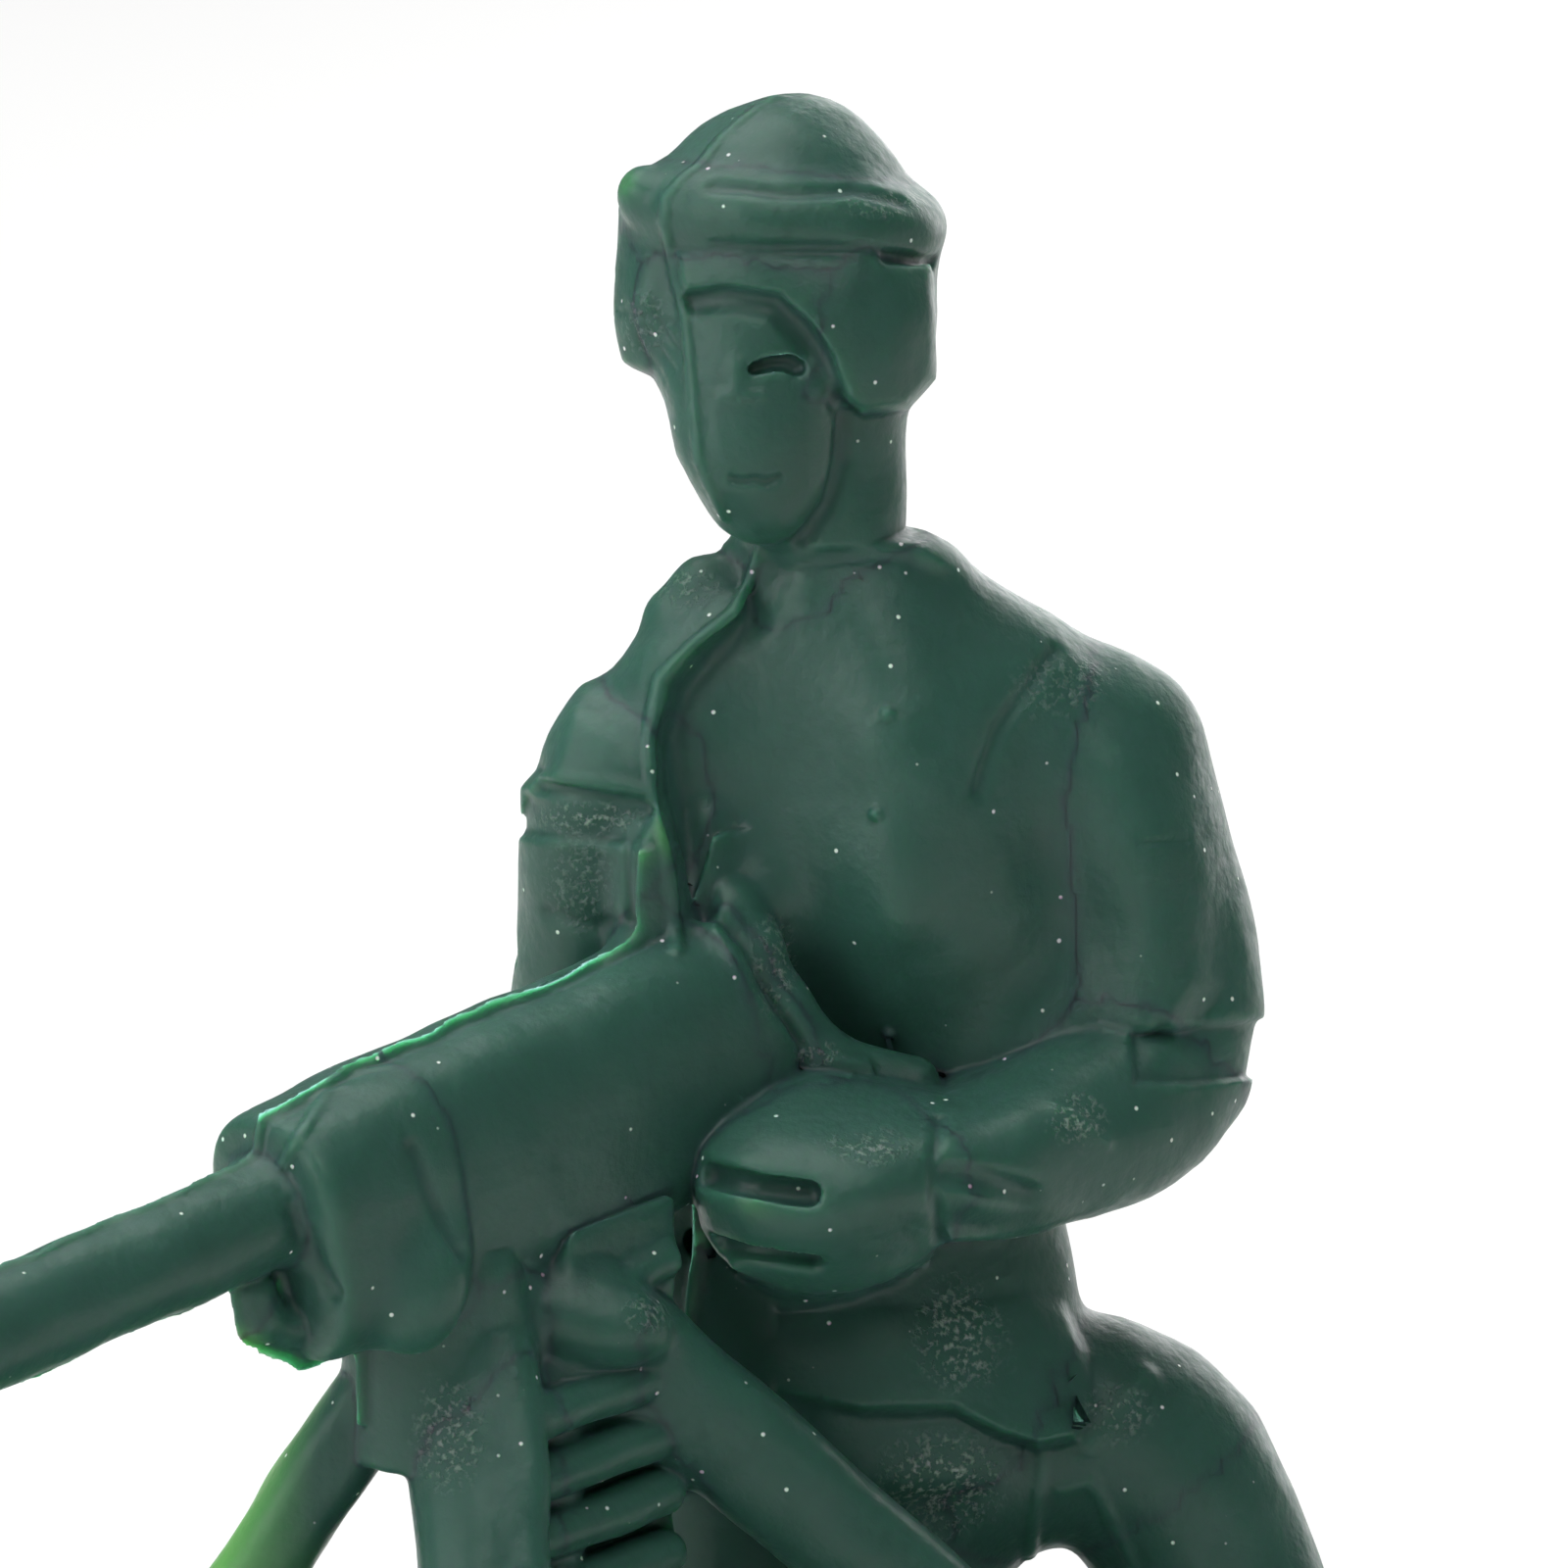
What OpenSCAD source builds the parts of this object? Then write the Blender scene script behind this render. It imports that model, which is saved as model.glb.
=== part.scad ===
// Toy soldier: a machine gunner who kneels behind a gun on a tripod, on a ground plate.
// Millimetres, +Z up, origin at the centre of the ground plate's underside.
// The barrel points along -X. The chest faces -Y and a little towards -X.
// Heights are measured from the top of the ground plate.

/* [Ground plate] */
// Length of the ground plate, along the gun
base_length = 36; // [34:1:46]
// Width of the ground plate, across the gun
base_width = 34; // [33:1:44]
// Thickness of the ground plate
base_thickness = 1.6; // [1.4:0.1:3]
// Corner radius of the ground plate
base_corner = 13; // [6:1:14]

/* [Torso] */
// Place of the torso's upright axis along the gun
torso_x = 4; // [3:0.25:5]
// Place of the torso's upright axis across the gun
torso_y = 1; // [0.5:0.25:1.5]
// Turn of the chest away from -Y, in degrees
torso_turn = -29; // [-33:1:-25]
// Height of the torso from the waist seam to the collar
torso_height = 12.8; // [11.5:0.1:14]
// Width of the chest
chest_width = 9.2; // [8.4:0.2:10]
// Depth of the chest, front to back
chest_depth = 5.6; // [5:0.2:6.2]
// Width of the waist
waist_width = 8.6; // [8:0.2:9]
// Depth of the waist, front to back
waist_depth = 5; // [4.6:0.1:5.4]

/* [Jacket skirt] */
// Height of the hem of the jacket
hem_height = 12.5; // [11:0.25:14]
// Length of the jacket from the waist seam down to the hem
skirt_length = 4.5; // [3.8:0.1:5.2]
// Width of the jacket at the hem
hem_width = 9.6; // [9:0.2:10.2]
// Depth of the jacket at the hem
hem_depth = 6; // [5.4:0.2:6.6]
// Drop of the trouser seat below the hem
seat_drop = 3.6; // [3:0.2:4.2]

/* [Head and cap] */
// Distance of the head's axis in front of the torso's axis, along the gun
head_reach = 1.6; // [1.3:0.1:1.9]
// Distance of the head's axis to the far side of the torso's axis, across the gun
head_shift = 0.6; // [0.3:0.1:0.9]
// Gap from the collar up to the chin
chin_gap = 0.9; // [0.6:0.1:1.4]
// Height from the chin to the seam of the cap
face_height = 5.3; // [4.9:0.1:5.8]
// Width of the skull
head_width = 4.9; // [4.5:0.1:5.3]
// Depth of the skull, front to back
head_depth = 5.5; // [5:0.1:6]
// Turn of the face away from -Y, in degrees
head_turn = -65; // [-75:1:-55]
// Backward tilt of the head, in degrees
head_tilt = 12; // [6:1:15]
// Distance of the neck to the right of the torso's axis
neck_shift = 0.45; // [0.3:0.05:0.6]
// Diameter of the neck
neck_d = 3.3; // [3:0.1:3.6]
// Height of the cap's crown above its seam
crown_height = 2.6; // [2.2:0.1:3.2]
// Diameter over the rolled brim
brim_d = 6.3; // [6:0.1:6.8]
// Height of the rolled brim
brim_height = 1.5; // [1.2:0.1:1.8]
// Thickness of the ear flaps
flap_thickness = 0.55; // [0.4:0.05:0.8]
// Length of the ear flaps below the brim
flap_length = 3; // [2.6:0.1:3.4]
// Width of the ear flaps, front to back
flap_width = 3.8; // [3.2:0.1:4.2]

/* [Arms] */
// Distance of the left shoulder joint out to the side
left_shoulder_side = 5; // [4.7:0.1:5.3]
// Distance of the right shoulder joint out to the side
right_shoulder_side = 4.3; // [4:0.1:4.6]
// Drop of the shoulder joints below the collar
shoulder_drop = 4.2; // [3.8:0.1:4.6]
// Diameter of the sleeve at the shoulder
shoulder_d = 3.9; // [3.5:0.1:4.3]
// Diameter of the sleeve at the elbow
elbow_d = 3.6; // [3.2:0.1:3.9]
// Diameter of the sleeve at the wrist
wrist_d = 2.5; // [2.2:0.1:2.8]
// Distance of the left elbow out to the side
left_elbow_side = 5.95; // [5.7:0.05:6.2]
// Distance of the left elbow in front of the torso's axis
left_elbow_front = 1; // [0.6:0.1:1.4]
// Rise of the left elbow above the waist seam
left_elbow_rise = 2.9; // [2.5:0.1:3.3]
// Distance of the right elbow out to the side
right_elbow_side = 4.6; // [4.4:0.1:5]
// Distance of the right elbow behind the torso's axis
right_elbow_back = 1; // [0.8:0.1:1.4]
// Rise of the right elbow above the waist seam
right_elbow_rise = 3; // [2.6:0.1:3.4]
// Length of a hand from wrist to knuckles
hand_length = 4.3; // [3.9:0.1:4.7]
// Height of a hand across the palm
hand_height = 3.5; // [3:0.1:3.8]
// Thickness of a hand
hand_thickness = 2; // [1.7:0.1:2.3]

/* [Legs] */
// Half of the distance between the hip joints
hip_half = 1.7; // [1.5:0.1:1.9]
// Drop of the hip joints below the hem of the jacket
hip_drop = 0.3; // [0.1:0.1:0.6]
// Diameter of a trouser leg at the hip
thigh_d = 4.8; // [4.4:0.1:5.2]
// Diameter of a trouser leg at the knee
knee_d = 4.4; // [4:0.1:4.8]
// Diameter of a trouser leg at the ankle
ankle_d = 3; // [2.7:0.1:3.3]
// Distance of the left knee out to the side
left_knee_side = 6.2; // [5.8:0.1:6.6]
// Distance of the left knee in front of the torso's axis
left_knee_front = 0.4; // [0:0.1:0.8]
// Drop of the left knee below the hem of the jacket
left_knee_drop = 0.8; // [0.4:0.1:1.2]
// Distance of the left foot out to the side
left_foot_side = 9.2; // [8.6:0.1:9.6]
// Distance of the left foot in front of the torso's axis
left_foot_front = 1.6; // [1.2:0.1:2]
// Length of the right shin from knee to ankle
right_shin_length = 11; // [10:0.25:11.25]
// Length of a boot
boot_length = 6.4; // [5.8:0.1:7]
// Width of a boot
boot_width = 2.8; // [2.5:0.1:3.1]
// Height of a boot above its sole
boot_height = 2.8; // [2.4:0.1:3.2]

/* [Gun] */
// Distance of the receiver's rear face in front of the torso's axis
gun_reach = 3.6; // [3.2:0.1:3.8]
// Rise of the bore above the waist seam, at the receiver's rear face
gun_rise = 4.4; // [4:0.1:4.8]
// Downward pitch of the barrel, in degrees
gun_pitch = 10.5; // [9:0.5:12]
// Length of the receiver
receiver_length = 7.7; // [7.2:0.1:8.2]
// Width of the receiver
receiver_width = 3.3; // [3:0.1:3.5]
// Height of the receiver
receiver_height = 5; // [4.7:0.1:5.3]
// Rise of the receiver's top above the bore
receiver_rise = 1.9; // [1.7:0.1:2.1]
// Length of the front housing
housing_length = 3.1; // [2.8:0.1:3.4]
// Width of the front housing
housing_width = 3.8; // [3.5:0.1:4.1]
// Height of the front housing
housing_height = 5.1; // [4.8:0.1:5.4]
// Rise of the front housing's top above the bore
housing_rise = 1.9; // [1.7:0.1:2.1]
// Length of the barrel in front of the housing
barrel_length = 12.6; // [10:0.2:15]
// Diameter of the barrel
barrel_d = 2.1; // [1.8:0.1:2.3]
// Length of the barrel's spigot in the housing
spigot_length = 2; // [1.2:0.1:2.6]
// Diameter of the barrel's spigot
spigot_d = 1.4; // [1.1:0.1:1.6]
// Length of the back plate behind the receiver
back_plate_length = 2.2; // [1.8:0.1:2.6]
// Rise of the back plate's top above the bore
back_plate_rise = 2.6; // [2.3:0.1:2.9]

/* [Ammunition belt] */
// Distance of the belt in front of the receiver's rear face
belt_along = 4.1; // [3.8:0.1:4.4]
// Distance of the belt's back from the gun's middle plane
belt_inset = 0.6; // [0.3:0.1:0.8]
// Slant of the cartridges on the belt, in degrees
belt_slant = 14; // [8:1:20]
// Width of the belt
belt_width = 2.7; // [2.3:0.1:3]
// Thickness of the belt
belt_thickness = 1.1; // [0.9:0.1:1.4]
// Length of the belt that hangs below the receiver
belt_length = 8.4; // [7:0.2:9.8]
// Pitch of the cartridges on the belt
belt_pitch = 1.4; // [1.2:0.05:1.7]
// Relief of the cartridges over the belt
belt_relief = 0.35; // [0.2:0.05:0.5]

/* [Tripod] */
// Distance of the tripod's saddle in front of the receiver's rear face
saddle_along = 7.2; // [6.8:0.1:7.4]
// Length of the saddle along the gun
saddle_length = 3.4; // [3:0.1:3.6]
// Width of the saddle across the gun
saddle_width = 2.8; // [2.5:0.1:3]
// Height of the saddle below the receiver
saddle_height = 2.8; // [2.4:0.1:3.2]
// Width of a front leg
front_leg_width = 2; // [1.8:0.1:2.2]
// Width of the rear leg
rear_leg_width = 1.7; // [1.5:0.1:1.9]
// Thickness of a tripod leg
leg_thickness = 1.4; // [1.2:0.1:1.6]
// Reach of the near front foot in front of the saddle
near_foot_front = 4.6; // [4.2:0.1:5.4]
// Reach of the near front foot to the near side
near_foot_side = 8.2; // [7.7:0.1:8.7]
// Reach of the far front foot in front of the saddle
far_foot_front = 7.2; // [6.6:0.1:7.8]
// Reach of the far front foot to the far side
far_foot_side = 8; // [7.5:0.1:8.5]
// Distance from the receiver's rear face to the place where the rear leg crosses under it
rear_leg_along = 4.2; // [3.9:0.1:4.5]
// Drop of the rear leg's axis below the receiver at that place
rear_leg_drop = 0.9; // [0.7:0.1:1.1]
// Length of the rear leg beyond that place, up to its seat against receiver and saddle
rear_leg_seat = 1.3; // [1.2:0.05:1.5]
// Reach of the rear foot behind the saddle
rear_foot_back = 17.9; // [17.3:0.2:18.7]
// Reach of the rear foot to the near side
rear_foot_side = 11.2; // [10.6:0.1:11.6]

/* [Fits] */
// Gap between two pieces that are shaped to each other
seam = 0.04; // [0.02:0.01:0.1]
// Side of the square pegs that key the pieces together
peg_side = 1; // [0.8:0.05:1.1]
// Length of the pegs
peg_length = 0.9; // [0.7:0.05:1.1]
// Gap between a peg and its socket, all round
peg_clearance = 0.05; // [0.03:0.01:0.1]

/* [Hidden] */
plastic = "#2E5444";
limb_sides = 20;
body_sides = 28;
upright = [0, 0, 1];
crosswise = [1, 0, 0];
round_section = 2;
boxy_section = 3;

// Heights of the joints, and the gun's place in front of the chest
waist_height = hem_height + skirt_length;
collar_height = waist_height + torso_height;
chin_height = collar_height + chin_gap;
shoulder_height = collar_height - shoulder_drop;
left_elbow_height = waist_height + left_elbow_rise;
right_elbow_height = waist_height + right_elbow_rise;
hip_height = hem_height - hip_drop;
gun_height = waist_height + gun_rise;
gun_x = torso_x - gun_reach;
gun_y = torso_y;

// Directions and points in the frames of the torso and the gun
function unit(v) = v / norm(v);
function between(p, q, t) = p + t * (q - p);
function torso_point(side, front, height) = [
    torso_x + side * cos(torso_turn) + front * sin(torso_turn),
    torso_y + side * sin(torso_turn) - front * cos(torso_turn),
    base_thickness + height
];
function gun_point(along, side, rise) = [
    gun_x - along * cos(gun_pitch) - rise * sin(gun_pitch),
    gun_y + side,
    base_thickness + gun_height - along * sin(gun_pitch) + rise * cos(gun_pitch)
];

// A closed cross-section round a centre, square to a direction
function power(v, p) = sign(v) * pow(abs(v), 2 / p);
function ring(centre, direction, side_ref, half_u, half_v, sides, section) =
    let (d = unit(direction), u = unit(cross(side_ref, d)), v = cross(d, u))
    [for (i = [0 : sides - 1])
        let (a = 360 * (i + 0.5) / sides)
        centre + half_u * power(cos(a), section) * u + half_v * power(sin(a), section) * v];

// A closed skin over a row of cross-sections
module loft(rings) {
    n = len(rings[0]);
    last = len(rings) - 1;
    skin = [for (k = [0 : last - 1], i = [0 : n - 1])
        let (j = (i + 1) % n)
        each [[k * n + i, (k + 1) * n + i, (k + 1) * n + j], [k * n + i, (k + 1) * n + j, k * n + j]]];
    start_cap = [for (i = [0 : n - 1]) i];
    end_cap = [for (i = [n - 1 : -1 : 0]) last * n + i];
    polyhedron(points = [for (r = rings) each r], faces = concat([start_cap], skin, [end_cap]));
}

// A limb over stations [centre, direction, half size in the bend, half size across it]
module limb(stations, side_ref, grow = 0, section = round_section) {
    last = len(stations) - 1;
    loft([for (i = [0 : last])
        let (s = stations[i], shift = i == 0 ? -grow : i == last ? grow : 0)
        ring(s[0] + shift * unit(s[1]), s[1], side_ref, s[2] + grow, s[3] + grow, limb_sides, section)]);
}

// An upright body over stations [height, half width, half depth, offset to the front]
module stack(stations, grow = 0, section = round_section) {
    last = len(stations) - 1;
    loft([for (i = [0 : last])
        let (s = stations[i], shift = i == 0 ? -grow : i == last ? grow : 0)
        let (centre = [0, -s[3], s[0] + shift])
        ring(centre, upright, [0, 1, 0], s[1] + grow, s[2] + grow, body_sides, section)]);
}

// A square peg on a seam, from its root inside its own piece into the next one
module peg(centre, direction, side_ref, grow = 0, root = peg_length) {
    d = unit(direction);
    u = unit(cross(side_ref, d));
    v = cross(d, u);
    side = peg_side + 2 * grow;
    multmatrix([
        [u.x, v.x, d.x, centre.x],
        [u.y, v.y, d.y, centre.y],
        [u.z, v.z, d.z, centre.z],
        [0, 0, 0, 1]
    ])
        translate([-side / 2, -side / 2, -root])
        cube([side, side, root + peg_length + grow]);
}

module at_torso() {
    translate([torso_x, torso_y, base_thickness])
        rotate([0, 0, torso_turn])
        children();
}

module at_head() {
    translate([torso_x - head_reach, torso_y + head_shift, base_thickness + chin_height])
        rotate([-head_tilt, 0, head_turn])
        children();
}

module at_gun() {
    translate([gun_x, gun_y, base_thickness + gun_height])
        rotate([0, -gun_pitch, 0])
        children();
}

// A smooth curve through three joints, in two halves that share the slope at the middle joint
function curve(p, q, p_slope, q_slope, t) =
    (2 * t^3 - 3 * t^2 + 1) * p + (t^3 - 2 * t^2 + t) * p_slope
    + (3 * t^2 - 2 * t^3) * q + (t^3 - t^2) * q_slope;
function curve_slope(p, q, p_slope, q_slope, t) =
    (6 * t^2 - 6 * t) * (p - q) + (3 * t^2 - 4 * t + 1) * p_slope + (3 * t^2 - 2 * t) * q_slope;
function bend(a, b, c) = unit(cross(b - a, c - b));
function first_half(a, b, c, soft, r, q, steps) =
    let (m = soft * (c - a), start = 1.5 * (b - a) - 0.5 * m)
    [for (i = [0 : steps])
        let (t = i / steps, w = r + t * (q - r))
        [curve(a, b, start, m, t), curve_slope(a, b, start, m, t), w, w]];
function second_half(a, b, c, soft, r, q, steps) =
    let (m = soft * (c - a), end = 1.5 * (c - b) - 0.5 * m)
    [for (i = [0 : steps])
        let (t = i / steps, w = r + t * (q - r))
        [curve(b, c, m, end, t), curve_slope(b, c, m, end, t), w, w]];

// A rounded start in front of a limb's first station
function round_start(stations) =
    let (s = stations[0], d = unit(s[1]), r = s[2])
    [
        [s[0] - 0.85 * r * d, d, 0.5 * r, 0.5 * r],
        [s[0] - 0.5 * r * d, d, 0.86 * r, 0.86 * r],
        each stations
    ];

// Arms: shoulders, elbows, wrists and knuckles
arm_softness = 0.5;
arm_steps = 5;
left_shoulder = torso_point(left_shoulder_side, 0, shoulder_height);
left_elbow = torso_point(left_elbow_side, left_elbow_front, left_elbow_height);
palm_gap = receiver_width / 2 + 0.3 * hand_thickness;
left_knuckles = gun_point(0.3 * receiver_length, -palm_gap, -0.5 * receiver_height);
left_wrist = left_knuckles + hand_length * unit([0.86, -0.5, 0.06]);
right_shoulder = torso_point(-right_shoulder_side, 0, shoulder_height);
right_elbow = torso_point(-right_elbow_side, -right_elbow_back, right_elbow_height);
right_knuckles = gun_point(0.9 * receiver_length, palm_gap, -0.3 * receiver_height);
right_wrist = right_knuckles + hand_length * unit([1, 0.22, 0.1]);
left_bend = bend(left_shoulder, left_elbow, left_wrist);
right_bend = bend(right_shoulder, right_elbow, right_wrist);

function upper_arm_stations(s, e, w) =
    round_start(first_half(s, e, w, arm_softness, shoulder_d / 2, elbow_d / 2, arm_steps));
function forearm_stations(s, e, w) =
    second_half(s, e, w, arm_softness, elbow_d / 2, wrist_d / 2, arm_steps);
function hand_stations(forearm_end, w, k) =
    let (d = unit(k - w), h = hand_height / 2, t = hand_thickness / 2)
    [
        forearm_end,
        [between(w, k, 0.25), d, 0.9 * h, 1.05 * t],
        [between(w, k, 0.55), d, h, 1.05 * t],
        [between(w, k, 0.85), d, 0.92 * h, 0.95 * t],
        [k, d, 0.7 * h, 0.7 * t]
    ];
left_cuff = forearm_stations(left_shoulder, left_elbow, left_wrist)[arm_steps];
right_cuff = forearm_stations(right_shoulder, right_elbow, right_wrist)[arm_steps];

module left_elbow_key(grow = 0) {
    peg(left_elbow, left_wrist - left_shoulder, left_bend, grow);
}

module left_wrist_key(grow = 0) {
    peg(left_cuff[0], left_cuff[1], left_bend, grow);
}

module right_elbow_key(grow = 0) {
    peg(right_elbow, right_wrist - right_shoulder, right_bend, grow);
}

module right_wrist_key(grow = 0) {
    peg(right_cuff[0], right_cuff[1], right_bend, grow);
}

module left_upper_arm_form(grow = 0) {
    limb(upper_arm_stations(left_shoulder, left_elbow, left_wrist), left_bend, grow);
}

module left_forearm_form(grow = 0) {
    limb(forearm_stations(left_shoulder, left_elbow, left_wrist), left_bend, grow);
}

module left_hand_form(grow = 0) {
    limb(hand_stations(left_cuff, left_wrist, left_knuckles), left_bend, grow);
}

module right_upper_arm_form(grow = 0) {
    limb(upper_arm_stations(right_shoulder, right_elbow, right_wrist), right_bend, grow);
}

module right_forearm_form(grow = 0) {
    limb(forearm_stations(right_shoulder, right_elbow, right_wrist), right_bend, grow);
}

module right_hand_form(grow = 0) {
    limb(hand_stations(right_cuff, right_wrist, right_knuckles), right_bend, grow);
}

// Legs: hips, knees, ankles and the row of stations along them
ankle_sink = 0.7;
left_hip = torso_point(hip_half, 0, hip_height);
left_knee = torso_point(left_knee_side, left_knee_front, hem_height - left_knee_drop);
left_ankle = torso_point(left_foot_side, left_foot_front, ankle_sink * boot_height);
right_hip = torso_point(-hip_half, 0, hip_height);
right_knee = torso_point(-1.1 * hip_half, 0.5 * hip_half, 0.5 * knee_d);
right_ankle = torso_point(-1.1 * hip_half, 0.5 * hip_half - right_shin_length, 0.55 * knee_d);
toe_direction = unit([left_ankle.x - left_hip.x, left_ankle.y - left_hip.y, 0]);
back_direction = unit([right_ankle.x - right_knee.x, right_ankle.y - right_knee.y, 0]);
leg_softness = 0.5;
leg_steps = 6;
function thigh_stations(h, k, a) =
    round_start(first_half(h, k, a, leg_softness, thigh_d / 2, knee_d / 2, leg_steps));
function shin_stations(h, k, a) =
    second_half(h, k, a, leg_softness, knee_d / 2, ankle_d / 2, leg_steps);
left_leg_bend = bend(left_hip, left_knee, left_ankle);
right_leg_bend = bend(right_hip, right_knee, right_ankle);

module left_knee_key(grow = 0) {
    peg(left_knee, left_ankle - left_hip, left_leg_bend, grow);
}

module right_knee_key(grow = 0) {
    peg(right_knee, right_ankle - right_hip, right_leg_bend, grow);
}

module left_thigh_form(grow = 0) {
    limb(thigh_stations(left_hip, left_knee, left_ankle), left_leg_bend, grow);
}

module left_shin_form(grow = 0) {
    limb(shin_stations(left_hip, left_knee, left_ankle), left_leg_bend, grow);
}

module right_thigh_form(grow = 0) {
    limb(thigh_stations(right_hip, right_knee, right_ankle), right_leg_bend, grow);
}

module right_shin_form(grow = 0) {
    limb(shin_stations(right_hip, right_knee, right_ankle), right_leg_bend, grow);
}

// The space below the top of the ground plate, which flattens the knee that rests there
module ground() {
    translate([-base_length / 2, -base_width / 2, 0])
        cube([base_length, base_width, base_thickness]);
}

// A boot from its heel to its toe, with its sole on the ground plate
heel_reach = 0.3;
function sole(ankle, direction, along) =
    [ankle.x, ankle.y, base_thickness] + (along - heel_reach) * boot_length * direction;

module boot_key(ankle, direction, grow = 0) {
    peg(sole(ankle, direction, 0.45), -upright, crosswise, grow);
}

module boot_form(ankle, direction) {
    r = boot_width / 2;
    h = boot_height / 2;
    centre = sole(ankle, direction, 0) + h * upright;
    limb([
        [centre, direction, 0.75 * r, 0.85 * h],
        [centre + 0.12 * boot_length * direction, direction, r, h],
        [centre + 0.45 * boot_length * direction, direction, 0.95 * r, h],
        [centre + 0.8 * boot_length * direction, direction, r, 0.75 * h],
        [centre + boot_length * direction, direction, 0.6 * r, 0.45 * h]
    ], upright, 0, boxy_section);
}

// Torso, skirt, head and cap
module torso_form(grow = 0) {
    w = chest_width / 2;
    t = chest_depth / 2;
    at_torso()
        stack([
            [waist_height, waist_width / 2, waist_depth / 2, 0],
            [waist_height + 0.2 * torso_height, 0.98 * waist_width / 2, waist_depth / 2, 0],
            [waist_height + 0.42 * torso_height, 0.9 * w, 0.95 * t, 0],
            [waist_height + 0.62 * torso_height, 0.98 * w, t, 0],
            [waist_height + 0.78 * torso_height, w, 0.95 * t, 0],
            [waist_height + 0.88 * torso_height, 0.9 * w, 0.82 * t, 0],
            [waist_height + 0.96 * torso_height, 0.62 * w, 0.68 * t, 0],
            [collar_height, 0.44 * w, 0.62 * t, 0]
        ], grow);
}

module skirt_form(grow = 0) {
    at_torso()
        stack([
            [hem_height - seat_drop, 0.26 * hem_width, 0.26 * hem_depth, 0],
            [hem_height - 0.6 * seat_drop, 0.37 * hem_width, 0.36 * hem_depth, 0],
            [hem_height - 0.1 * seat_drop, 0.42 * hem_width, 0.42 * hem_depth, 0],
            [hem_height, hem_width / 2, hem_depth / 2, 0],
            [between(hem_height, waist_height, 0.5), 0.49 * hem_width, 0.48 * hem_depth, 0],
            [waist_height, waist_width / 2, waist_depth / 2, 0]
        ], grow);
}

module waist_key(grow = 0) {
    peg(torso_point(0, 0, waist_height), upright, crosswise, grow);
}

module cap_key(grow = 0) {
    at_head()
        peg([0, 0, face_height], upright, crosswise, grow);
}

module neck_form(grow = 0) {
    n = neck_d / 2;
    at_torso()
        translate([-neck_shift, 0, 0])
        stack([
            [collar_height - n, n, n, 0],
            [collar_height + 0.5 * n, 0.97 * n, 0.97 * n, 0],
            [chin_height + 0.5 * face_height, n, n, 0]
        ], grow);
}

module skull_form(grow = 0) {
    w = head_width / 2;
    t = head_depth / 2;
    at_head()
        stack([
            [0, 0.26 * w, 0.42 * t, 0.3 * t],
            [0.06 * face_height, 0.42 * w, 0.6 * t, 0.24 * t],
            [0.2 * face_height, 0.6 * w, 0.78 * t, 0.16 * t],
            [0.42 * face_height, 0.84 * w, 0.92 * t, 0.06 * t],
            [0.7 * face_height, w, t, 0],
            [face_height, 0.98 * w, 0.98 * t, 0]
        ], grow);
}

module head_form(grow = 0) {
    neck_form(grow);
    skull_form(grow);
}

module crown_form(grow = 0) {
    w = brim_d / 2;
    at_head()
        stack([
            [face_height, 0.82 * w, 0.86 * w, 0],
            [face_height + 0.3 * crown_height, 0.78 * w, 0.82 * w, 0],
            [face_height + 0.65 * crown_height, 0.62 * w, 0.66 * w, 0],
            [face_height + 0.88 * crown_height, 0.4 * w, 0.42 * w, 0],
            [face_height + crown_height, 0.16 * w, 0.17 * w, 0]
        ], grow);
}

module brim_form(grow = 0) {
    w = brim_d / 2;
    middle = face_height + 0.2 * brim_height;
    at_head()
        stack([
            [middle - 0.5 * brim_height, 0.88 * w, 0.9 * w, 0],
            [middle - 0.25 * brim_height, 0.97 * w, 0.98 * w, 0],
            [middle, w, 1.01 * w, 0],
            [middle + 0.25 * brim_height, 0.96 * w, 0.97 * w, 0],
            [middle + 0.5 * brim_height, 0.84 * w, 0.86 * w, 0]
        ], grow);
}

// The part of a shell over the head that lies beside one ear
module ear_flap(side) {
    bottom = face_height - flap_length;
    difference() {
        intersection() {
            skull_form(flap_thickness);
            at_head()
                translate([side > 0 ? 0 : -head_width, -0.5 * flap_width, bottom])
                cube([head_width, flap_width, flap_length]);
        }
        head_form(seam);
        brim_form(seam);
    }
}

// Gun, in its own frame: the barrel runs along -X, the bore is the axis
module gun_block(start, end, half_width, bottom, top, grow = 0, taper = 1) {
    middle = (top + bottom) / 2;
    half = (top - bottom) / 2;
    at_gun()
        limb([
            [[-start, 0, middle], [-1, 0, 0], half_width, half],
            [[-end, 0, middle], [-1, 0, 0], taper * half_width, taper * half]
        ], upright, grow, boxy_section);
}

receiver_bottom = receiver_rise - receiver_height;

module receiver_form(grow = 0) {
    gun_block(0, receiver_length, receiver_width / 2, receiver_bottom, receiver_rise, grow);
}

module housing_form(grow = 0) {
    gun_block(receiver_length, receiver_length + housing_length, housing_width / 2,
        housing_rise - housing_height, housing_rise, grow, 0.94);
}

module housing_key(grow = 0) {
    at_gun()
        peg([-receiver_length, 0, receiver_rise - 0.75 * receiver_height], -crosswise, upright, grow);
}

module back_plate_form(grow = 0) {
    gun_block(-back_plate_length, 0, receiver_width / 2, receiver_bottom, back_plate_rise, grow);
}

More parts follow.
